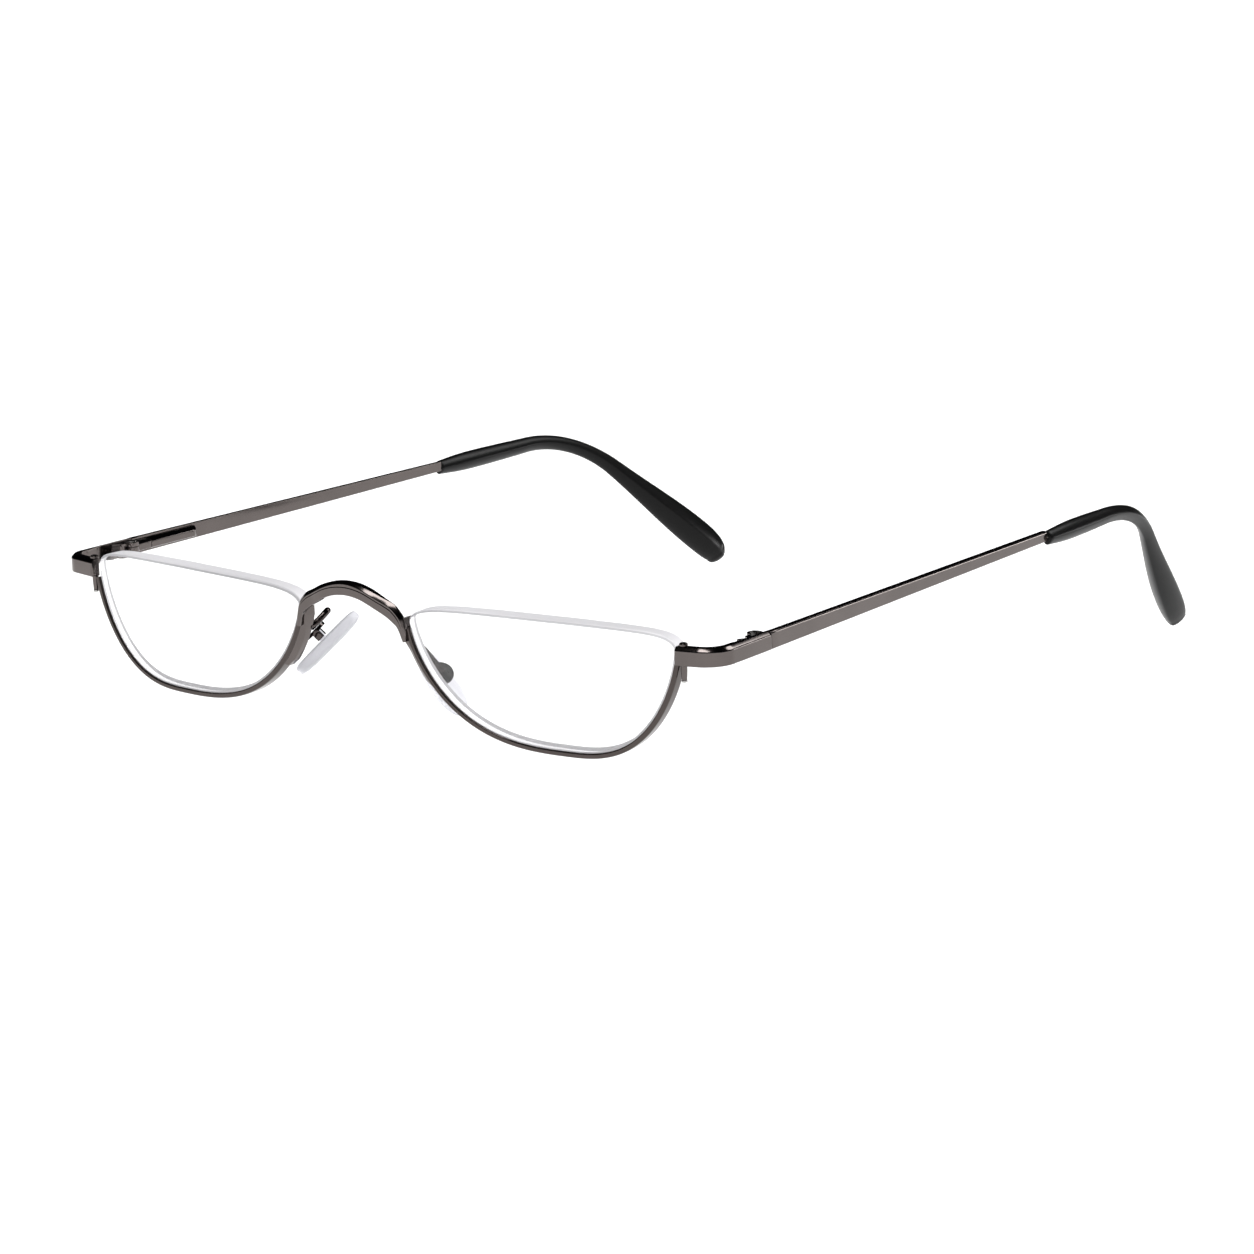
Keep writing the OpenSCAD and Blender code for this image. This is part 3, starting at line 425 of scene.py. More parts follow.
# %% Sweep the grooved wire of both rims
def eased(corners, cuts, steps=4):
    """An outline whose corners are rounded, each from its own cut before the corner to the same after it."""
    spots = []
    for i, (corner, cut) in enumerate(zip(corners, cuts)):
        corner = Vector(corner)
        before, after = Vector(corners[i - 1]) - corner, Vector(corners[(i + 1) % len(corners)]) - corner
        cut = min(cut, 0.45 * before.length, 0.45 * after.length)
        start, stop = corner + cut * before.normalized(), corner + cut * after.normalized()
        for step in range(steps + 1):
            t = step / steps
            spots.append((1 - t) ** 2 * start + 2 * (1 - t) * t * corner + t * t * stop)
    return spots


def angle_at_drop(drop):
    return math.asin((drop / LENS_DROP) ** (BOWL_Q / 2))


rim_start = angle_at_drop(BAR_H / 2 - PIVOT.z + SEAT_GAP)
rim_finish = math.pi - angle_at_drop(RIM_NOSE_END)
half_d = RIM_D / 2
wire = eased([(0, -half_d), (RIM_T, -half_d), (RIM_T, half_d), (0, half_d), (0, GROOVE_HALF), (GROOVE_DEPTH, 0),
              (0, -GROOVE_HALF)], [0.28, RIM_EDGE * 2, RIM_EDGE * 2, 0.28, 0.06, 0.06, 0.06], steps=5)
# In the lens's own plane the outline runs in x and y, and the wire's depth in -z
in_plane = Matrix(((1, 0, 0, 0), (0, 0, -1, 0), (0, 1, 0, 0), (0, 0, 0, 1)))
for side, turn in SIDES:
    rim_mesh = grown(drawn_curve([(-out, back) for out, back in wire]), rim_tree,
                     {"Start angle": rim_start, "Finish angle": rim_finish, "Material": gunmetal_wire_painted_shade})
    rim = finish_piece("rim_wire_" + side, rim_mesh, standing @ turn @ at_lens @ in_plane, ["rim_" + side],
                       [gunmetal_wire_painted_shade])
    print(rim.name, len(rim.data.polygons), "faces")

# %% [markdown]
# ## The lenses
# A lens is cut from a round blank to the half-moon outline. Its back is flat here and its front bulges very
# slightly, with a small bevel all round that is wider below on the back. A pointed rib sits in the groove of
# the rim. The rule of the outline gives rings of points from the middle of the back over the rib to the middle
# of the front. They make a closed, smooth mesh, and the faces round the edge get the ground finish.

# %% The outline rule
def power_of(base, exponent):
    return math.copysign(abs(base) ** exponent, base) if base else 0.0


def outline(angle):
    low = math.sin(angle) >= 0
    p, q = (BOWL_P, BOWL_Q) if low else (BROW_P, BROW_Q)
    half = TEMPLE_HALF if math.cos(angle) >= 0 else NOSE_HALF
    u = half * power_of(math.cos(angle), 2 / p)
    share = abs(math.sin(angle)) ** (2 / q)
    v = -LENS_DROP * share if low else LENS_RISE * share + BROW_BOW * (1 - (u / half) ** 2)
    b = -LENS_DROP if low else LENS_RISE
    normal = Vector((power_of(math.cos(angle), 2 - 2 / p) * p / half, abs(math.sin(angle)) ** (2 - 2 / q) * q / b))
    return Vector((u, v)), normal.normalized()


print("The outline's lowest point is", [round(v, 2) for v in outline(math.pi / 2)[0]], "mm from the middle")

# %% Rings of a lens
BEVEL_H, BEVEL_HALF, CHAMFER, BACK_CUT = 0.35, 0.4, 0.25, 0.3
CENTRE_U, CENTRE_V = (TEMPLE_HALF - NOSE_HALF) / 2, -6.0
BACK_W = LENS_T - 1.2
FRONT_W = BACK_W - LENS_T


def lens_ring(inset, share, w, bulge=0, lift=0.0, slope=0.0, cut=0.0, count=288):
    ring = []
    for k in range(count):
        angle = 2 * math.pi * k / count
        p, n = outline(angle)
        held = math.sin(angle) > math.sin(angle_at_drop(RIM_NOSE_END)) - 0.001
        edge = p + (lift * held - inset - slope * max(0.0, n.y) - cut * max(0.0, -n.y)) * n
        centre = Vector((CENTRE_U, CENTRE_V))
        q = centre + share * (edge - centre)
        ring.append((q.x, w + bulge * (q - centre).length_squared / (2 * FRONT_R), q.y))
    return ring


shares = [1, 0.99, 0.95, 0.9, 0.8, 0.7, 0.6, 0.5, 0.4, 0.3, 0.2, 0.1, 0.03]
lens_rings = [lens_ring(SEAT_GAP + CHAMFER, share, BACK_W, cut=BACK_CUT) for share in (0.03, 0.5, 0.9, 0.99, 1)]
lens_rings += [lens_ring(SEAT_GAP, 1, BACK_W - CHAMFER), lens_ring(SEAT_GAP, 1, BEVEL_HALF),
               lens_ring(SEAT_GAP, 1, 0, 0, BEVEL_H), lens_ring(SEAT_GAP, 1, -BEVEL_HALF),
               lens_ring(SEAT_GAP, 1, FRONT_W + CHAMFER, 1, 0, BROW_SLOPE)]
lens_rings += [lens_ring(SEAT_GAP + CHAMFER * share, share, FRONT_W, 1, 0, BROW_SLOPE) for share in shares]
print("Lens has", len(lens_rings), "rings of", len(lens_rings[0]), "points")

# %% Both lenses
def loft(rings):
    """A closed mesh through rings of points, each ring with the same number of points."""
    n = len(rings[0])
    points = [tuple(p) for ring in rings for p in ring]
    faces = [(i * n + j, i * n + (j + 1) % n, (i + 1) * n + (j + 1) % n, (i + 1) * n + j)
             for i in range(len(rings) - 1) for j in range(n)]
    faces += [tuple(range(n - 1, -1, -1)), tuple((len(rings) - 1) * n + j for j in range(n))]
    mesh = bpy.data.meshes.new("loft")
    mesh.from_pydata(points, [], faces)
    return outward(mesh)


ground_rings, chamfer_rings = range(5, 9), (4, 9)
for side, turn in SIDES:
    lens_mesh = loft(lens_rings)
    ring_of = [min(face.vertices) // len(lens_rings[0]) for face in lens_mesh.polygons]
    lens = finish_piece("lens_blank_" + side, lens_mesh, standing @ turn @ at_lens, ["lens_" + side],
                        [lens_face, lens_edge, lens_chamfer_painted_shade], sharp=18)
    for face, ring in zip(lens.data.polygons, ring_of):
        if len(face.vertices) == 4:
            face.material_index = 1 if ring in ground_rings else 2 if ring in chamfer_rings else 0
    print(lens.name, len(lens.data.polygons), "faces")

# %% [markdown]
# ## The tips
# Each tip is a sleeve that swells from its mouth, thins in the bend and broadens to a flat paddle. A round
# sweep with a radius that changes along the path gives just that. The path is a curve whose points carry
# the half height as their radius, and a second tree sweeps an oval along it, pinched so that a soft ridge
# runs along each side. The same tree makes the wires of the nose pads later, with a round profile.

# %% A tree that sweeps an oval along a path
wire_tree = tree = tree_inputs("sweep_oval_along_path", [
    ("Half width", "NodeSocketFloat", 0.88), ("Half height", "NodeSocketFloat", 1.0),
    ("Ridge power", "NodeSocketFloat", 2.0), ("Side power", "NodeSocketFloat", 0.5),
    ("Sides", "NodeSocketInt", 48), ("Material", "NodeSocketMaterial", None)])
given = add(tree, "NodeGroupInput").outputs
round_profile = add(tree, "GeometryNodeCurvePrimitiveCircle", {"Resolution": given["Sides"], "Radius": 1.0})
# Powers of 2 and 0.5 leave the circle as it is: x = (1 - |y| ^ 2) ^ 0.5. A lower ridge power pinches the sides
spot = add(tree, "ShaderNodeSeparateXYZ", [add(tree, "GeometryNodeInputPosition")]).outputs
height = add(tree, MATH, [spot["Y"]], operation="ABSOLUTE")
rise = add(tree, MATH, (height, given["Ridge power"]), operation="POWER")
rest = add(tree, MATH, (1.0, rise), operation="SUBTRACT")
above_zero = add(tree, MATH, (rest, 0.0), operation="MAXIMUM")
side_way = add(tree, MATH, (above_zero, given["Side power"]), operation="POWER")
sign = add(tree, MATH, [spot["X"]], operation="SIGN")
to_side = add(tree, MATH, (side_way, sign), operation="MULTIPLY")
wide = add(tree, MATH, (to_side, given["Half width"]), operation="MULTIPLY")
tall = add(tree, MATH, (spot["Y"], given["Half height"]), operation="MULTIPLY")
oval_spot = add(tree, "ShaderNodeCombineXYZ", (wide, tall))
oval = add(tree, "GeometryNodeSetPosition", {"Geometry": round_profile, "Position": oval_spot})
level = add(tree, "GeometryNodeSetCurveNormal", {"Curve": given["Geometry"]}, mode="Z_UP")
radius = add(tree, "GeometryNodeInputRadius")
swept = add(tree, "GeometryNodeCurveToMesh", {
    "Curve": level, "Profile Curve": oval, "Scale": radius, "Fill Caps": True})
ending(tree, swept, given)
print("Tree", wire_tree.name, "with", len(wire_tree.nodes), "nodes")

# %% The form of a tip along its path
# Half heights at the mouth, the grip and the waist, and the places of the grip and of the waist
MOUTH, GRIP, WAIST, GRIP_AT, WAIST_AT = 1.12, 1.55, 1.22, 8.0, STRAIGHT + BEND_LEN * 0.38
# The paddle is at its highest this far before the end, and swells with this power
PADDLE_TO_END, SWELL = 5, 1.35
# Over the last millimetres it is rounded off by this share and sunk by this much
ROUND_LEN, ROUNDED_OFF, SUNK = 5.0, 0.17, 0.3


def ease(x):
    return (1 - math.cos(math.pi * max(0.0, min(1.0, x)))) / 2


def tip_half(s, mouth_at):
    if s < mouth_at + GRIP_AT:
        return MOUTH + (GRIP - MOUTH) * math.sin(math.pi / 2 * (s - mouth_at) / GRIP_AT)
    if s < WAIST_AT:
        reach = WAIST_AT - mouth_at - GRIP_AT
        return GRIP + (WAIST - GRIP) * ease((s - mouth_at - GRIP_AT) / reach)
    return WAIST + (PADDLE - WAIST) * ease(((s - WAIST_AT) / (TIP_LEN - PADDLE_TO_END - WAIST_AT)) ** SWELL)


def to_the_end(s):
    """Goes from 0 to 1 over the last millimetres, where the paddle is rounded off."""
    return max(0.0, 1 - (TIP_LEN - s) / ROUND_LEN) ** 3


def between(values, u):
    """A smooth curve through a list of values, read at a place between two of them."""
    i = min(int(u), len(values) - 2)
    t = u - i
    p = [values[max(0, min(len(values) - 1, k))] for k in (i - 1, i, i + 1, i + 2)]
    return 0.5 * (2 * p[1] + (p[2] - p[0]) * t + (2 * p[0] - 5 * p[1] + 4 * p[2] - p[3]) * t * t
                  + (3 * p[1] - p[0] - 3 * p[2] + p[3]) * t ** 3)


def tip_place(s):
    return between(tip_stations, s / STRIDE)


print("Half heights every 10 mm:", [round(tip_half(s, 0.0), 2) for s in range(0, int(TIP_LEN), 10)])

# %% Grow both tips
MOUTH_ROUND, MOUTH_CUT, SPACING, TIP_FLAT, TIP_DOME = 0.25, 0.2, 0.6, 0.88, 1.8
for side, turn in SIDES:
    mouth_at = MOUTH_AT[side]
    spots, radii = [], []
    # The mouth is rounded over the first quarter of a millimetre, and the far end closes in a dome
    for t in (0.0, 0.25, 0.5, 0.75):
        spots.append(mouth_at + SEAT_GAP + MOUTH_ROUND * t)
        radii.append(MOUTH - MOUTH_CUT * (1 - math.sqrt(1 - (1 - t) ** 2)))
    s = mouth_at + SEAT_GAP + MOUTH_ROUND
    while s < TIP_LEN:
        spots.append(s)
        radii.append(tip_half(s, mouth_at) * (1 - ROUNDED_OFF * to_the_end(s)))
        s += SPACING
    lowered = [0.02 * ease(s / 12) * ease((TIP_LEN - s) / 30) + SUNK * to_the_end(s) for s in spots]
    tip_path = [tip_place(s) - Vector((0, 0, low)) for s, low in zip(spots, lowered)]
    end_way, end_half = tip_way(TIP_LEN), tip_half(TIP_LEN, mouth_at) * (1 - ROUNDED_OFF)
    for share in (0, 0.12, 0.25, 0.4, 0.55, 0.7, 0.82, 0.91, 0.97, 0.995):
        tip_path.append(tip_stations[-1] - Vector((0, 0, SUNK)) + TIP_DOME * share * end_way)
        radii.append(end_half * math.sqrt(1 - share ** 2))
    tip_mesh = grown(drawn_curve(tip_path, radii), wire_tree,
                     {"Half width": TIP_FLAT, "Half height": 1.0, "Ridge power": 1.35, "Side power": 0.62,
                      "Sides": 64, "Material": black_tip})
    tip = finish_piece("tip_moulding_" + side, tip_mesh, standing @ turn @ at_hinge, ["temple_tip_" + side],
                       [black_tip], "temple_" + side, sharp=50)
    print(tip.name, len(tip.data.polygons), "faces, mouth at", round(mouth_at, 1), "mm")

# %% [markdown]
# ## Softened edges on the metal parts
# Stamped and brazed parts are tumbled before plating, which breaks every edge by some hundredths of a
# millimetre. Those small rounds catch the light, and a part without them looks false. The solids have the
# right shape, so each is copied, its loose triangles are merged, flat areas are joined to single faces, and a
# Bevel modifier rounds the edges. This runs in millimetres, because Blender's tools expect such numbers.

# %% Copy a solid with broken edges
def softened(node, width):
    """A copy of a solid in mm, whose edges are rounded."""
    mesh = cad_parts[node].data.copy()
    mesh.transform(Matrix.Scale(1000, 4))
    mesh.materials.clear()
    shape = opened(mesh)
    bmesh.ops.remove_doubles(shape, verts=shape.verts, dist=0.001)
    bmesh.ops.dissolve_limit(shape, angle_limit=math.radians(0.7), verts=shape.verts, edges=shape.edges)
    bmesh.ops.join_triangles(shape, faces=shape.faces, angle_face_threshold=math.radians(12),
                             angle_shape_threshold=math.radians(180))
    holder = new_object("softened", closed(shape, mesh))
    bevel = holder.modifiers.new("edges", "BEVEL")
    bevel.width, bevel.segments = width, 3
    bevel.limit_method, bevel.angle_limit = "ANGLE", math.radians(30)
    return baked(holder)


SOFTENED = [("rim_lock", "front", 0.06, gunmetal_front), ("front_hinge", "front", 0.06, gunmetal_front),
            ("spring_box", "temple", 0.12, gunmetal_temple), ("hinge_link", "link", 0.08, gunmetal_temple),
            ("pad_cup", "front", 0.08, gunmetal_wire_painted_shade),
            ("lock_screw", "front", 0.04, turned_steel), ("hinge_screw", "front", 0.04, turned_steel),
            ("pad_screw", "front", 0.05, gunmetal_wire_painted_shade)]
for side, turn in SIDES:
    for stem, body, width, material in SOFTENED:
        node = stem + "_" + side
        rides_on = body if body == "front" else body + "_" + side
        piece = finish_piece(node + "_finished", softened(node, width), Matrix.Scale(0.001, 4), [node], [material],
                             rides_on)
        print(piece.name, len(piece.data.polygons), "faces")

# %% [markdown]
# ## The bridge
# The bridge is a bar that is pressed to shape in a die: an arch with a chamfered top edge and a step along its
# front, whose ends thin out and turn down to be brazed on the rims. The step faces up, so it mirrors the dark
# and draws a fine line, and the chamfer grows wider at the shoulders. A polished bar shows every kink in what it
# mirrors, so it needs many sections. Curve to Mesh can scale a profile but can't change its proportions, so
# here each section is a ring of its own. A smooth curve through the few known stations gives all the others.

# %% Stations along the bridge
arc = BRIDGE["r"] * math.radians(BRIDGE["slope"])
shoulder = 3.1
stations = []
for i in range(8):
    s = (arc + shoulder) * i / 7
    tilt = min(s, arc) / BRIDGE["r"]
    x = BRIDGE["r"] * math.sin(tilt) + max(0.0, s - arc) * math.cos(tilt)
    z = BRIDGE["rise"] - BRIDGE["r"] * (1 - math.cos(tilt)) - max(0.0, s - arc) * math.sin(tilt)
    grow = ease((i / 7 - 0.5) / 0.5)
    stations.append(Vector((x, z, math.degrees(tilt), BRIDGE["h"] / 2 + 0.1 * grow, BRIDGE["d"] - 0.6 * grow, 0)))
foot_x = RIM_GAP / 2 + 0.1
for out, z, tilt, half, deep, sink in (
        (-0.6, 0.2, 46, 0.96, 0.85, 0.1), (-0.05, -0.75, 66, 0.66, 0.76, 0.3), (0.25, -1.7, 77, 0.48, 0.7, 0.35),
        (0.42, -2.5, 80, 0.36, 0.66, 0.35), (0.55, -3.2, 80, 0.22, 0.62, 0.35)):
    stations.append(Vector((foot_x + out, z, tilt, half, deep, sink)))
print("Half the bridge has", len(stations), "stations, the last at x =", round(stations[-1][0], 2), "mm")

# %% Rings along the bridge
bridge_back = -front_y - BRIDGE["d"]


def bridge_ring(station, flip):
    x, z, tilt, half, deep, sink = station
    back, front, slope = -bridge_back + sink, -bridge_back - deep, math.radians(tilt)
    crease, step = half * BRIDGE["crease"], BRIDGE["step"]
    top = half * (BRIDGE["chamfer"] + 0.2 * ease(tilt / 25))
    section = eased([(-half, back), (half, back), (half, front + step + 1.2 * top), (half - top, front + step),
                     (crease + step, front + step), (crease, front), (-half + 0.15, front), (-half, front + 0.15)],
                    [0.1, 0.12, 0.14, 0.1, 0.04, 0.04, 0.08, 0.08])
    return [(flip * (x + up * math.sin(slope)), y, z + up * math.cos(slope)) for up, y in section]


mirror_first = Vector([-stations[1][0], stations[1][1], -stations[1][2]] + list(stations[1][3:]))
line = [mirror_first] + stations
dense = [between(line, 1 + i / 12) for i in range(12 * (len(line) - 2) + 1)]
bridge_rings = [bridge_ring(station, -1) for station in reversed(dense[1:])] + [bridge_ring(s, 1) for s in dense]
bridge = finish_piece("bridge_pressed_bar", loft(bridge_rings), standing, ["bridge"], [gunmetal_front], sharp=40)
print(bridge.name, len(bridge.data.polygons), "faces")

# %% [markdown]
# ## End pieces
# An end piece is a bar that is bent in a press: it sweeps out from the rim, turns a tight corner and runs
# back to the butt joint, growing thinner on its inner side. Its outer face is a line, an arc and a line. The
# rings stand square to that path. On this frame the left corner is bent more gently than the right one. The
# upper barrel of the rim lock, a turned pin with a domed head, is brazed behind it, so the same piece carries
# it as a second closed body.

# %% The path of an end piece
BAR = {"t": 1.5, "end_t": 1.0, "bevel": 0.55, "sweep": 12.0, "r": {"left": 4.4, "right": 3.1},
       "root": Vector((RIM_SIDE - 0.28, 0.16))}
TEMPLE_OUT, BUTT = 2.23, 1.07
toe, sweep = math.radians(TOE_IN), math.radians(BAR["sweep"])


def on_plan(x, y):
    spot = at_hinge @ Vector((x, y, 0))
    return Vector((spot.x, spot.y))


def facing(angle):
    return Vector((math.cos(angle), math.sin(angle)))


def bar_path(r):
    """Stops along the outer face: place, angle of the face, thickness."""
    across = TEMPLE_OUT - r
    reach = PIVOT.x - BAR["root"].x + across * math.cos(toe) + r * math.sin(sweep)
    back = ((BAR["root"].y - PIVOT.y - across * math.sin(toe) + r * math.cos(sweep) + reach * math.tan(sweep))
            / (math.cos(toe) + math.sin(toe) * math.tan(sweep)))
    corner, turn_from, turn_to = on_plan(across, back), sweep - math.pi / 2, toe
    stops = [(BAR["root"].lerp(corner + r * facing(turn_from), i / 10), turn_from, BAR["t"]) for i in range(10)]
    angles = [turn_from + (turn_to - turn_from) * i / 48 for i in range(49)]
    stops += [(corner + r * facing(angle), angle, BAR["t"]) for angle in angles]
    arm_from, arm_to = on_plan(TEMPLE_OUT, back), on_plan(TEMPLE_OUT, BUTT)
    for i in range(1, 31):
        spot = arm_from.lerp(arm_to, i / 30)
        thin = ease((spot - arm_from).length / 4)
        stops.append((spot, turn_to, BAR["t"] + (BAR["end_t"] - BAR["t"]) * thin))
    return stops


print("The left end piece has", len(bar_path(BAR["r"]["left"])), "stops")

# %% Rings along the end pieces
def shrunk(section, by):
    """The same outline drawn in towards its middle, for the broken edge round an end."""
    middle = sum(section, Vector((0, 0))) / len(section)
    return [spot + min(by, (middle - spot).length / 2) * (middle - spot).normalized() for spot in section]


def bar_ring(spot, angle, thick, broken=0.0):
    low, high = PIVOT.z - BAR_H / 2, PIVOT.z + BAR_H / 2
    section = eased([(0, low), (thick, low), (thick, high), (BAR["bevel"], high), (0, high - BAR["bevel"])],
                    [0.16, 0.12, 0.12, 0.14, 0.14])
    return [tuple(spot - deep * facing(angle)) + (z,) for deep, z in shrunk(section, broken)]


first_way, last_way = facing(sweep), Vector((-math.sin(toe), math.cos(toe)))
# How far from an end a ring lies, and by how much it is drawn in
BREAK = [(0.0, 0.1), (0.03, 0.04), (0.1, 0.0)]


def bar_rings(stops):
    (first, first_angle, first_t), (last, last_angle, last_t) = stops[0], stops[-1]
    rings = [bar_ring(first + back * first_way, first_angle, first_t, by) for back, by in BREAK]
    rings += [bar_ring(*stop) for stop in stops[1:-1]]
    return rings + [bar_ring(last - back * last_way, last_angle, last_t, by) for back, by in BREAK[::-1]]


print("A bar's ends are broken over", BREAK[-1][0], "mm")

# %% Bend both end pieces, with their lock barrels
LOCK = {"r": 0.65, "place": Vector((RIM_SIDE + 0.34, BAR["root"].y + 1.45)), "cap": 0.2, "dome": 0.3, "cut": 0.07}


def joined(*bodies):
    """One mesh with several closed bodies, each given as its rings."""
    shape = bmesh.new()
    for rings in bodies:
        part = loft(rings)
        shape.from_mesh(part)
        bpy.data.meshes.remove(part)
    return closed(shape, bpy.data.meshes.new("bodies"))


def turned_pin(middle, outline_rz, sides=40):
    return [[(middle.x + r * math.cos(2 * math.pi * k / sides), middle.y + r * math.sin(2 * math.pi * k / sides), z)
             for k in range(sides)] for r, z in outline_rz]


pin_low = PIVOT.z - BAR_H / 2
pin_high = pin_low + BAR_H + LOCK["cap"]
dome = [(LOCK["r"] * math.cos(a), pin_high + LOCK["dome"] * math.sin(a))
        for a in (math.radians(d) for d in (0, 15, 30, 45, 60, 72, 82, 88))]
pin_rings = turned_pin(LOCK["place"], [(LOCK["r"] - LOCK["cut"], pin_low), (LOCK["r"], pin_low + LOCK["cut"])] + dome)
for side, turn in SIDES:
    end_mesh = joined(bar_rings(bar_path(BAR["r"][side])), pin_rings)
    end_piece = finish_piece("end_piece_bent_bar_" + side, end_mesh, standing @ turn, ["end_piece_" + side],
                             [gunmetal_front], sharp=40)
    print(end_piece.name, len(end_piece.data.polygons), "faces")

# %% [markdown]
# ## Temples
# A temple is a strip that is rolled thinner and lower towards the back, where a flat core goes on inside the
# tip. The strip's outer top edge is rounded off more than its lower one, which draws a dark line along it.
# Rings of one section, scaled to the height at each place, make the strip, and rings along the path of the tip
# make the core, as a second closed body in the same piece.

# %% Rings along the temples
TEMPLE = {"front": 1.13, "t": 1.0, "h_front": 2.65, "h_back": 1.6}
CORE_H, CORE_T = 0.6, 0.4


def strip_ring(y, half, broken=0.0):
    inner = TEMPLE_OUT - TEMPLE["t"]
    section = eased([(TEMPLE_OUT, -half), (TEMPLE_OUT, half), (inner, half), (inner, -half)],
                    [0.12, 0.4, 0.12, 0.12], steps=6)
    return [(x, y, z) for x, z in shrunk(section, broken)]


for side, turn in SIDES:
    core_from = MOUTH_AT[side]
    strip_end = TIP_START + core_from
    strip_len = strip_end - TEMPLE["front"]
    strip_rings = [strip_ring(TEMPLE["front"] + back, TEMPLE["h_front"] / 2, by) for back, by in BREAK]
    strip_rings += [strip_ring(TEMPLE["front"] + strip_len * i / 40,
                               (TEMPLE["h_front"] + (TEMPLE["h_back"] - TEMPLE["h_front"]) * i / 40) / 2)
                    for i in range(1, 41)]
    core_rings = []
    for i in range(45):
        s = core_from - 0.4 + (TIP_LEN - 4 * STRIDE - core_from) * i / 44
        way = tip_way(s)
        outwards = Vector((way.y, -way.x, 0)).normalized()
        upwards = outwards.cross(way)
        core_rings.append([tip_place(s) + CORE_T * math.cos(a) * outwards + CORE_H * math.sin(a) * upwards
                           for a in (2 * math.pi * k / 12 for k in range(12))])
    temple = finish_piece("temple_rolled_strip_" + side, joined(strip_rings, core_rings),
                          standing @ turn @ at_hinge, ["temple_" + side], [gunmetal_temple], "temple_" + side,
                          sharp=40)
    print(temple.name, len(temple.data.polygons), "faces, strip of", round(strip_len, 1), "mm")

# %% [markdown]
# ## Nose straps
# A thin strap is brazed along the outer nose side of each rim, where the bridge and the pad wire meet. It is
# as deep as the rim at its top, set back below, and stands up behind the end of the bridge. The braze fills
# the corner between the two, so the strap is drawn a little into the rim. It follows the lens outline, so
# each ring is built square to that outline.

# %% Rings along the straps
STRAP_DROP, STRAP_T, STRAP_UP, BRAZE = 9.4, 0.75, 1.8, 0.2
strap_from, strap_to = math.pi - angle_at_drop(STRAP_DROP), math.pi - angle_at_drop(RIM_NOSE_END)
strap_rings = []
for i in range(101):
    share, lift = min(1.0, i / 90), STRAP_UP * max(0, i - 90) / 10
    p, n = outline(strap_from + (strap_to - strap_from) * share)
    low = RIM_T - BRAZE
    high = RIM_T + SEAT_GAP + STRAP_T * (0.55 + 0.45 * ease(6 * share))
    front = -0.2 - (half_d - 0.2) * ease((share - 0.55) / 0.45)
    section = eased([(low, min(front, -half_d + 0.22)), (high, front), (high, half_d), (low, half_d)],
                    [0.05, 0.14, 0.16, 0.05])
    if i in (0, 100):
        section = shrunk(section, 0.07)
    strap_rings.append([(p.x + out * n.x, w, p.y + out * n.y + lift) for out, w in section])
for side, turn in SIDES:
    strap = finish_piece("nose_strap_brazed_" + side, loft(strap_rings), standing @ turn @ at_lens,
                         ["nose_strap_" + side], [gunmetal_front], sharp=40)
    print(strap.name, len(strap.data.polygons), "faces")

# %% [markdown]
# ## Pad wires
# Each nose pad hangs on a soft-soldered wire that rises behind the lens, turns over and drops to a cup. An
# optician bends it by hand to fit a nose, and on this frame the left one is bent lower. Two smooth curves,
# one after the other, give its path, and the tree from the tips sweeps a round wire along it.

# %% Grow both pad wires
CUP = Vector((12.75, 2.2, -5.8))
PAD_LOWER, PAD_TURN = {"left": 3.1, "right": 0.0}, {"left": 17.0, "right": 0.0}
PAD_SPLAY, PAD_FLARE, CUP_T, ARM_R = 31.0, 46.0, 0.5, 0.5


def bezier(p, t):
    return (1 - t) ** 3 * p[0] + 3 * (1 - t) ** 2 * t * p[1] + 3 * (1 - t) * t * t * p[2] + t ** 3 * p[3]


for side, turn in SIDES:
    root_angle = math.pi - angle_at_drop(3.2 + 0.4 * PAD_LOWER[side])
    root_point, root_normal = outline(root_angle)
    root_uv = root_point + (RIM_T + SEAT_GAP + STRAP_T / 2) * root_normal
    root = at_lens @ Vector((root_uv.x, RIM_D / 2 - 0.3, root_uv.y))
    cup = CUP - Vector((0, 0, PAD_LOWER[side]))
    top = cup + Vector((-3.2, -0.9, 3.85))
    splay, flare = math.radians(PAD_SPLAY), math.radians(PAD_FLARE)
    away = Vector((math.cos(splay) * math.cos(flare), -math.sin(splay) * math.cos(flare), math.sin(flare)))
    up = Vector((-math.cos(splay) * math.sin(flare), math.sin(splay) * math.sin(flare), math.cos(flare)))
    end = cup + (CUP_T + ARM_R + SEAT_GAP) * away
    over = Vector((0.4, 0.9, -0.3 if side == "left" else 0)).normalized()
    behind = Vector((-math.sin(wrap), math.cos(wrap), 0))
    first_curve = [root, root + 1.5 * behind, top - 1.2 * over, top]
    across = Vector((math.sin(splay), math.cos(splay), 0))
    second_curve = [top, top + 0.9 * over, end + 1.7 * up - 1.3 * across, end]
    arm_path = [bezier(first_curve, i / 24) for i in range(25)] + [bezier(second_curve, i / 24) for i in range(1, 25)]
    arm_radii = [ARM_R] * len(arm_path)
    final_way = (arm_path[-1] - arm_path[-2]).normalized()
    for share in (0.5, 0.85, 1.0):
        arm_path.append(end + ARM_R * 0.6 * share * final_way)
        arm_radii.append(ARM_R * math.sqrt(max(0.04, 1 - share ** 2)))
    arm_mesh = grown(drawn_curve(arm_path, arm_radii), wire_tree,
                     {"Half width": 1.0, "Half height": 1.0, "Sides": 24, "Material": gunmetal_wire_painted_shade})
    arm = finish_piece("pad_wire_" + side, arm_mesh, standing @ turn, ["pad_arm_" + side], [gunmetal_wire_painted_shade],
                       sharp=60)
    print(arm.name, len(arm.data.polygons), "faces")

# %% [markdown]
# ## Nose pads
# A pad is moulded in clear silicone, D-shaped and pillowed, round a small stem that the pad screw holds.
# Eight rings of the pad's outline make a coarse cage, and Subdivision Surface turns it into the soft
# pillow of a real moulding. It isn't cloth and isn't stuffed, so it needs no simulation.

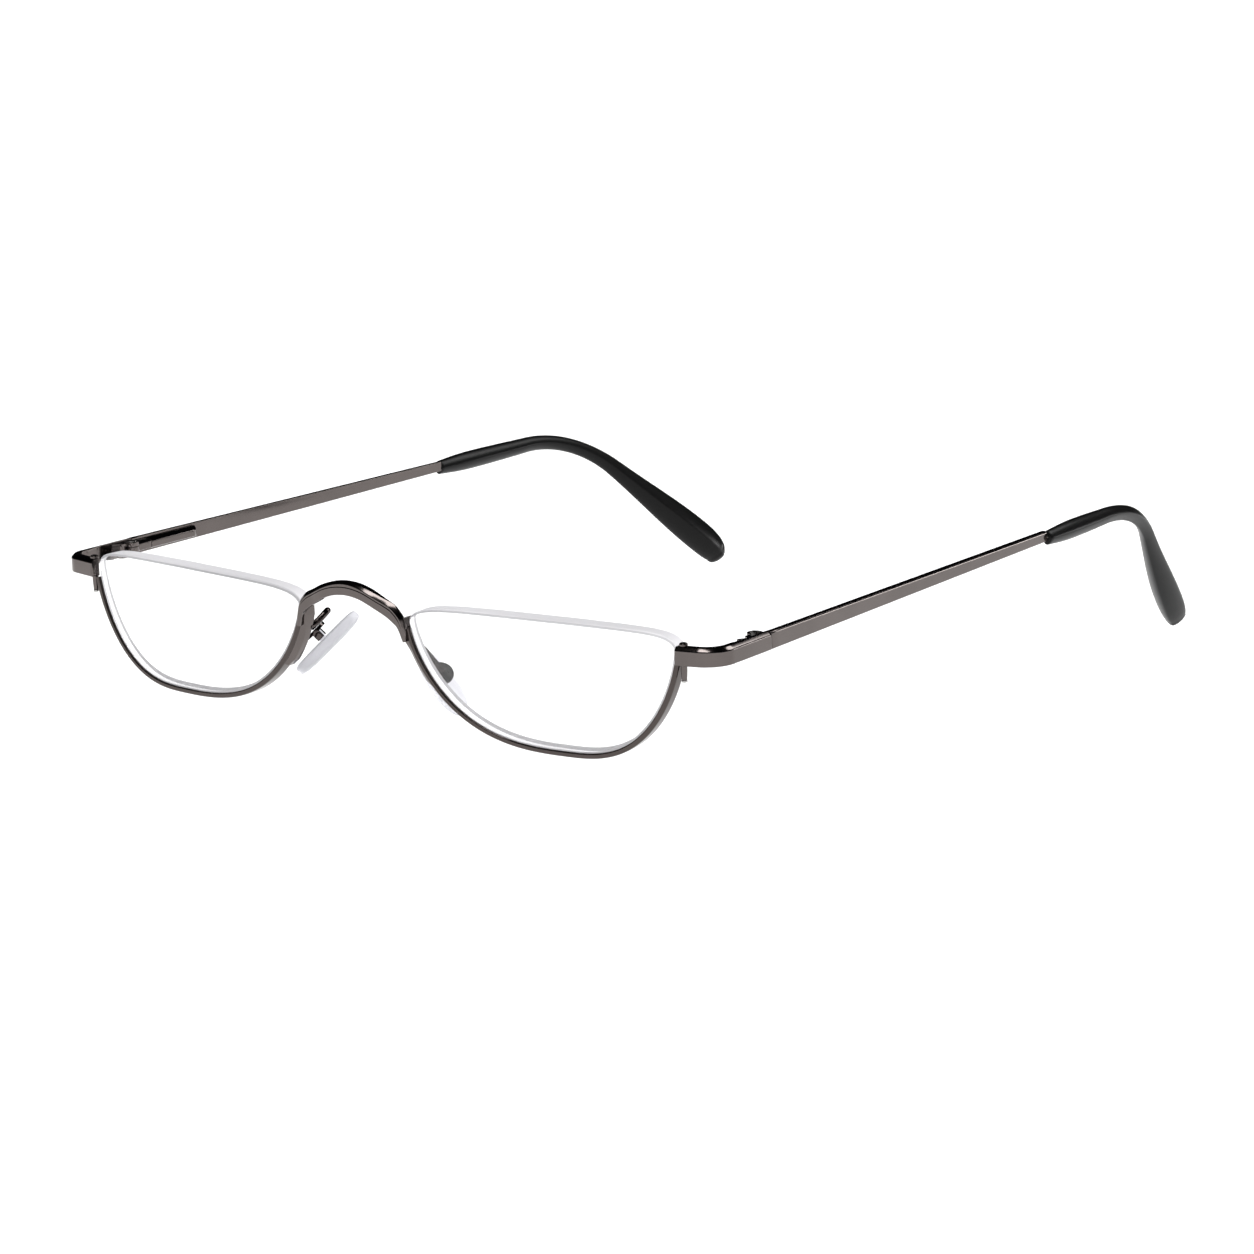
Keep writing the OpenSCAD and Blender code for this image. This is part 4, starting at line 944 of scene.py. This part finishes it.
# %% Grow both nose pads
PAD = {"len": 13.2, "wide": 5.2, "thick": 2.0, "ear": 1.2, "stem": 0.9}


def pad_ring(share, x):
    ring = []
    for k in range(28):
        angle = 2 * math.pi * k / 28
        ring.append((x, PAD["wide"] / 2 * share * power_of(math.cos(angle), 0.9) * (1 - 0.12 * math.sin(angle)),
                     PAD["len"] / 2 * share * power_of(math.sin(angle), 0.9)))
    return ring


# The size of each ring of the pillow, and how far it lies behind the face
PILLOW = [(0.4, 0), (0.86, 0), (0.97, 0.2), (1, 0.75), (0.99, 1.35), (0.92, 1.78), (0.62, PAD["thick"]),
          (0.15, PAD["thick"])]
STEM_EDGE = 0.12
face_x = -PAD["ear"] - 0.25
stem_len = 0.3 - face_x - STEM_EDGE
for side, turn in SIDES:
    holder = new_object("pad", loft([pad_ring(share, face_x - behind) for share, behind in PILLOW]))
    soften = holder.modifiers.new("pillow", "SUBSURF")
    soften.levels = soften.render_levels = 2
    pillow = baked(holder)
    shape = opened(pillow)
    stem = bmesh.ops.create_cube(shape, size=1.0)["verts"]
    size = Matrix.Diagonal((stem_len, PAD["stem"], 1.1, 1))
    middle = Matrix.Translation((face_x - 0.3 + stem_len / 2, 0, 0))
    bmesh.ops.transform(shape, verts=stem, matrix=middle @ size)
    stem_edges = list({edge for v in stem for edge in v.link_edges})
    bmesh.ops.bevel(shape, geom=stem_edges, offset=STEM_EDGE, segments=3, profile=0.5, affect="EDGES")
    closed(shape, pillow)
    at_cup = (Matrix.Translation(CUP - Vector((0, 0, PAD_LOWER[side]))) @ turned(-PAD_SPLAY, "Z")
              @ turned(-PAD_FLARE, "Y") @ turned(PAD_TURN[side], "X"))
    pad = finish_piece("pad_moulding_" + side, pillow, standing @ turn @ at_cup, ["nose_pad_" + side], [soft_pad],
                       "pad_" + side, sharp=60)
    print(pad.name, len(pad.data.polygons), "faces")

# %% [markdown]
# ## What stays as the solid
# The springs, their bushes and their stops lie inside the hinge boxes, where only a temple that is pulled
# back would show them. Their solids are right as they are and get their steel.

# %% Steel for the hidden pieces
for side, _ in SIDES:
    for stem in ("spring", "spring_bush", "spring_stop"):
        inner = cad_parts[stem + "_" + side]
        inner.data.materials.clear()
        inner.data.materials.append(drawn_steel)
        print(inner.name, "in", drawn_steel.name)

# %% [markdown]
# ## Table, light and camera
# The glasses stand on a white table that a wide skylight makes even and white up to its far edge, as in the
# photograph. Polished metal shows what is around it, so the room matters more than the lamps. Behind and
# above it is black, which turns the upward faces black. A low white wall in front and the table grey the
# front faces, and two small soft boxes high in front and high behind put a white line on the bevels that
# turn towards them. A third, low beside, draws the soft line along the ridge of the tips.

# %% White table
table_top = bpy.data.meshes.new("table_top")
table_top.from_pydata([(-6, -6, 0), (6, -6, 0), (6, 6, 0), (-6, 6, 0)], [], [(0, 1, 2, 3)])
table = new_object("table_top", table_top)
table_paint, tree, shader, where = new_material("matt_white_laminate")
grain = add(tree, "ShaderNodeTexNoise", {"Vector": where, "Scale": 400.0})
tone = add(tree, "ShaderNodeValToRGB", [grain])
for stop, colour in zip(tone.color_ramp.elements, ("#F4F4F4", "#F8F8F8")):
    stop.color = linear(colour)
feed(tree, shader, {"Base Color": tone, "Roughness": 0.9, "Specular IOR Level": 0.1})
table_top.materials.append(table_paint)
table.location.z = cad_box[0].z
print("Table top at z =", round(cad_box[0].z * 1000, 3), "mm")

# %% Room and soft boxes
world = bpy.data.worlds.new("studio")
bpy.context.scene.world = world
world.use_nodes = True
sky = world.node_tree
direction = add(sky, "ShaderNodeSeparateXYZ", [add(sky, "ShaderNodeTexCoord").outputs["Generated"]]).outputs
# White in front of the glasses and low down
edges = [add(sky, "ShaderNodeMapRange", {
    "Value": direction[way], "From Min": low, "From Max": high, "To Min": 1.0, "To Max": 0.0},
    interpolation_type="SMOOTHSTEP") for way, low, high in (("Y", -0.5, -0.25), ("Z", 0.1, 0.3))]
white_wall = add(sky, MATH, edges, operation="MULTIPLY")
room = add(sky, "ShaderNodeValToRGB", [white_wall])
room.color_ramp.elements[0].color = 0.006, 0.006, 0.007, 1
feed(sky, sky.nodes["Background"], {"Color": room})


def soft_box(name, place, aim, size, power):
    light = bpy.data.lights.new(name, "AREA")
    light.shape, light.size, light.size_y, light.energy = "RECTANGLE", *size, power
    lamp = new_object(name, light)
    lamp.location = place
    lamp.rotation_euler = (Vector(aim) - Vector(place)).to_track_quat("-Z", "Y").to_euler()
    print("Soft box", name, "of", power, "W")


soft_box("above_the_front", (0.03, -0.69, 1.44), (0, 0, 0), (0.8, 0.3), 6)
soft_box("above_the_back", (0.59, 0.99, 1.18), (0, 0, 0), (0.55, 0.55), 6)
soft_box("low_beside", (0.85, 1.22, 0.17), (0, 0, 0.02), (0.5, 0.2), 3)
skylight = bpy.data.lights.new("skylight", "SUN")
skylight.energy, skylight.angle = 4.3, math.radians(60)
roof = new_object("skylight", skylight)
roof.location, roof.rotation_euler = (0.4, 0.3, 2), (math.radians(-8), math.radians(30), 0)
roof.visible_glossy = False
print("Skylight over the whole table")

# %% Camera at the photograph's angle
camera_data = bpy.data.cameras.new("photo_view")
camera_data.lens, camera_data.sensor_width = 155.623, 36.0
camera_data.clip_start, camera_data.clip_end = 0.05, 20.0
camera = new_object("photo_view", camera_data)
right = Vector((0.78575431, 0.61850764, 0.00620234))
above = Vector((-0.11615653, 0.13770183, 0.98363909))
backward = Vector((0.60753422, -0.7736191, 0.1800435))
view = Matrix((right, above, backward)).transposed().to_4x4()
camera.matrix_world = Matrix.Translation((0.520739, -0.672952, 0.160448)) @ view
bpy.context.scene.camera = camera
bpy.context.scene.view_settings.view_transform = "Standard"
print("Camera", [round(v, 3) for v in camera.location])
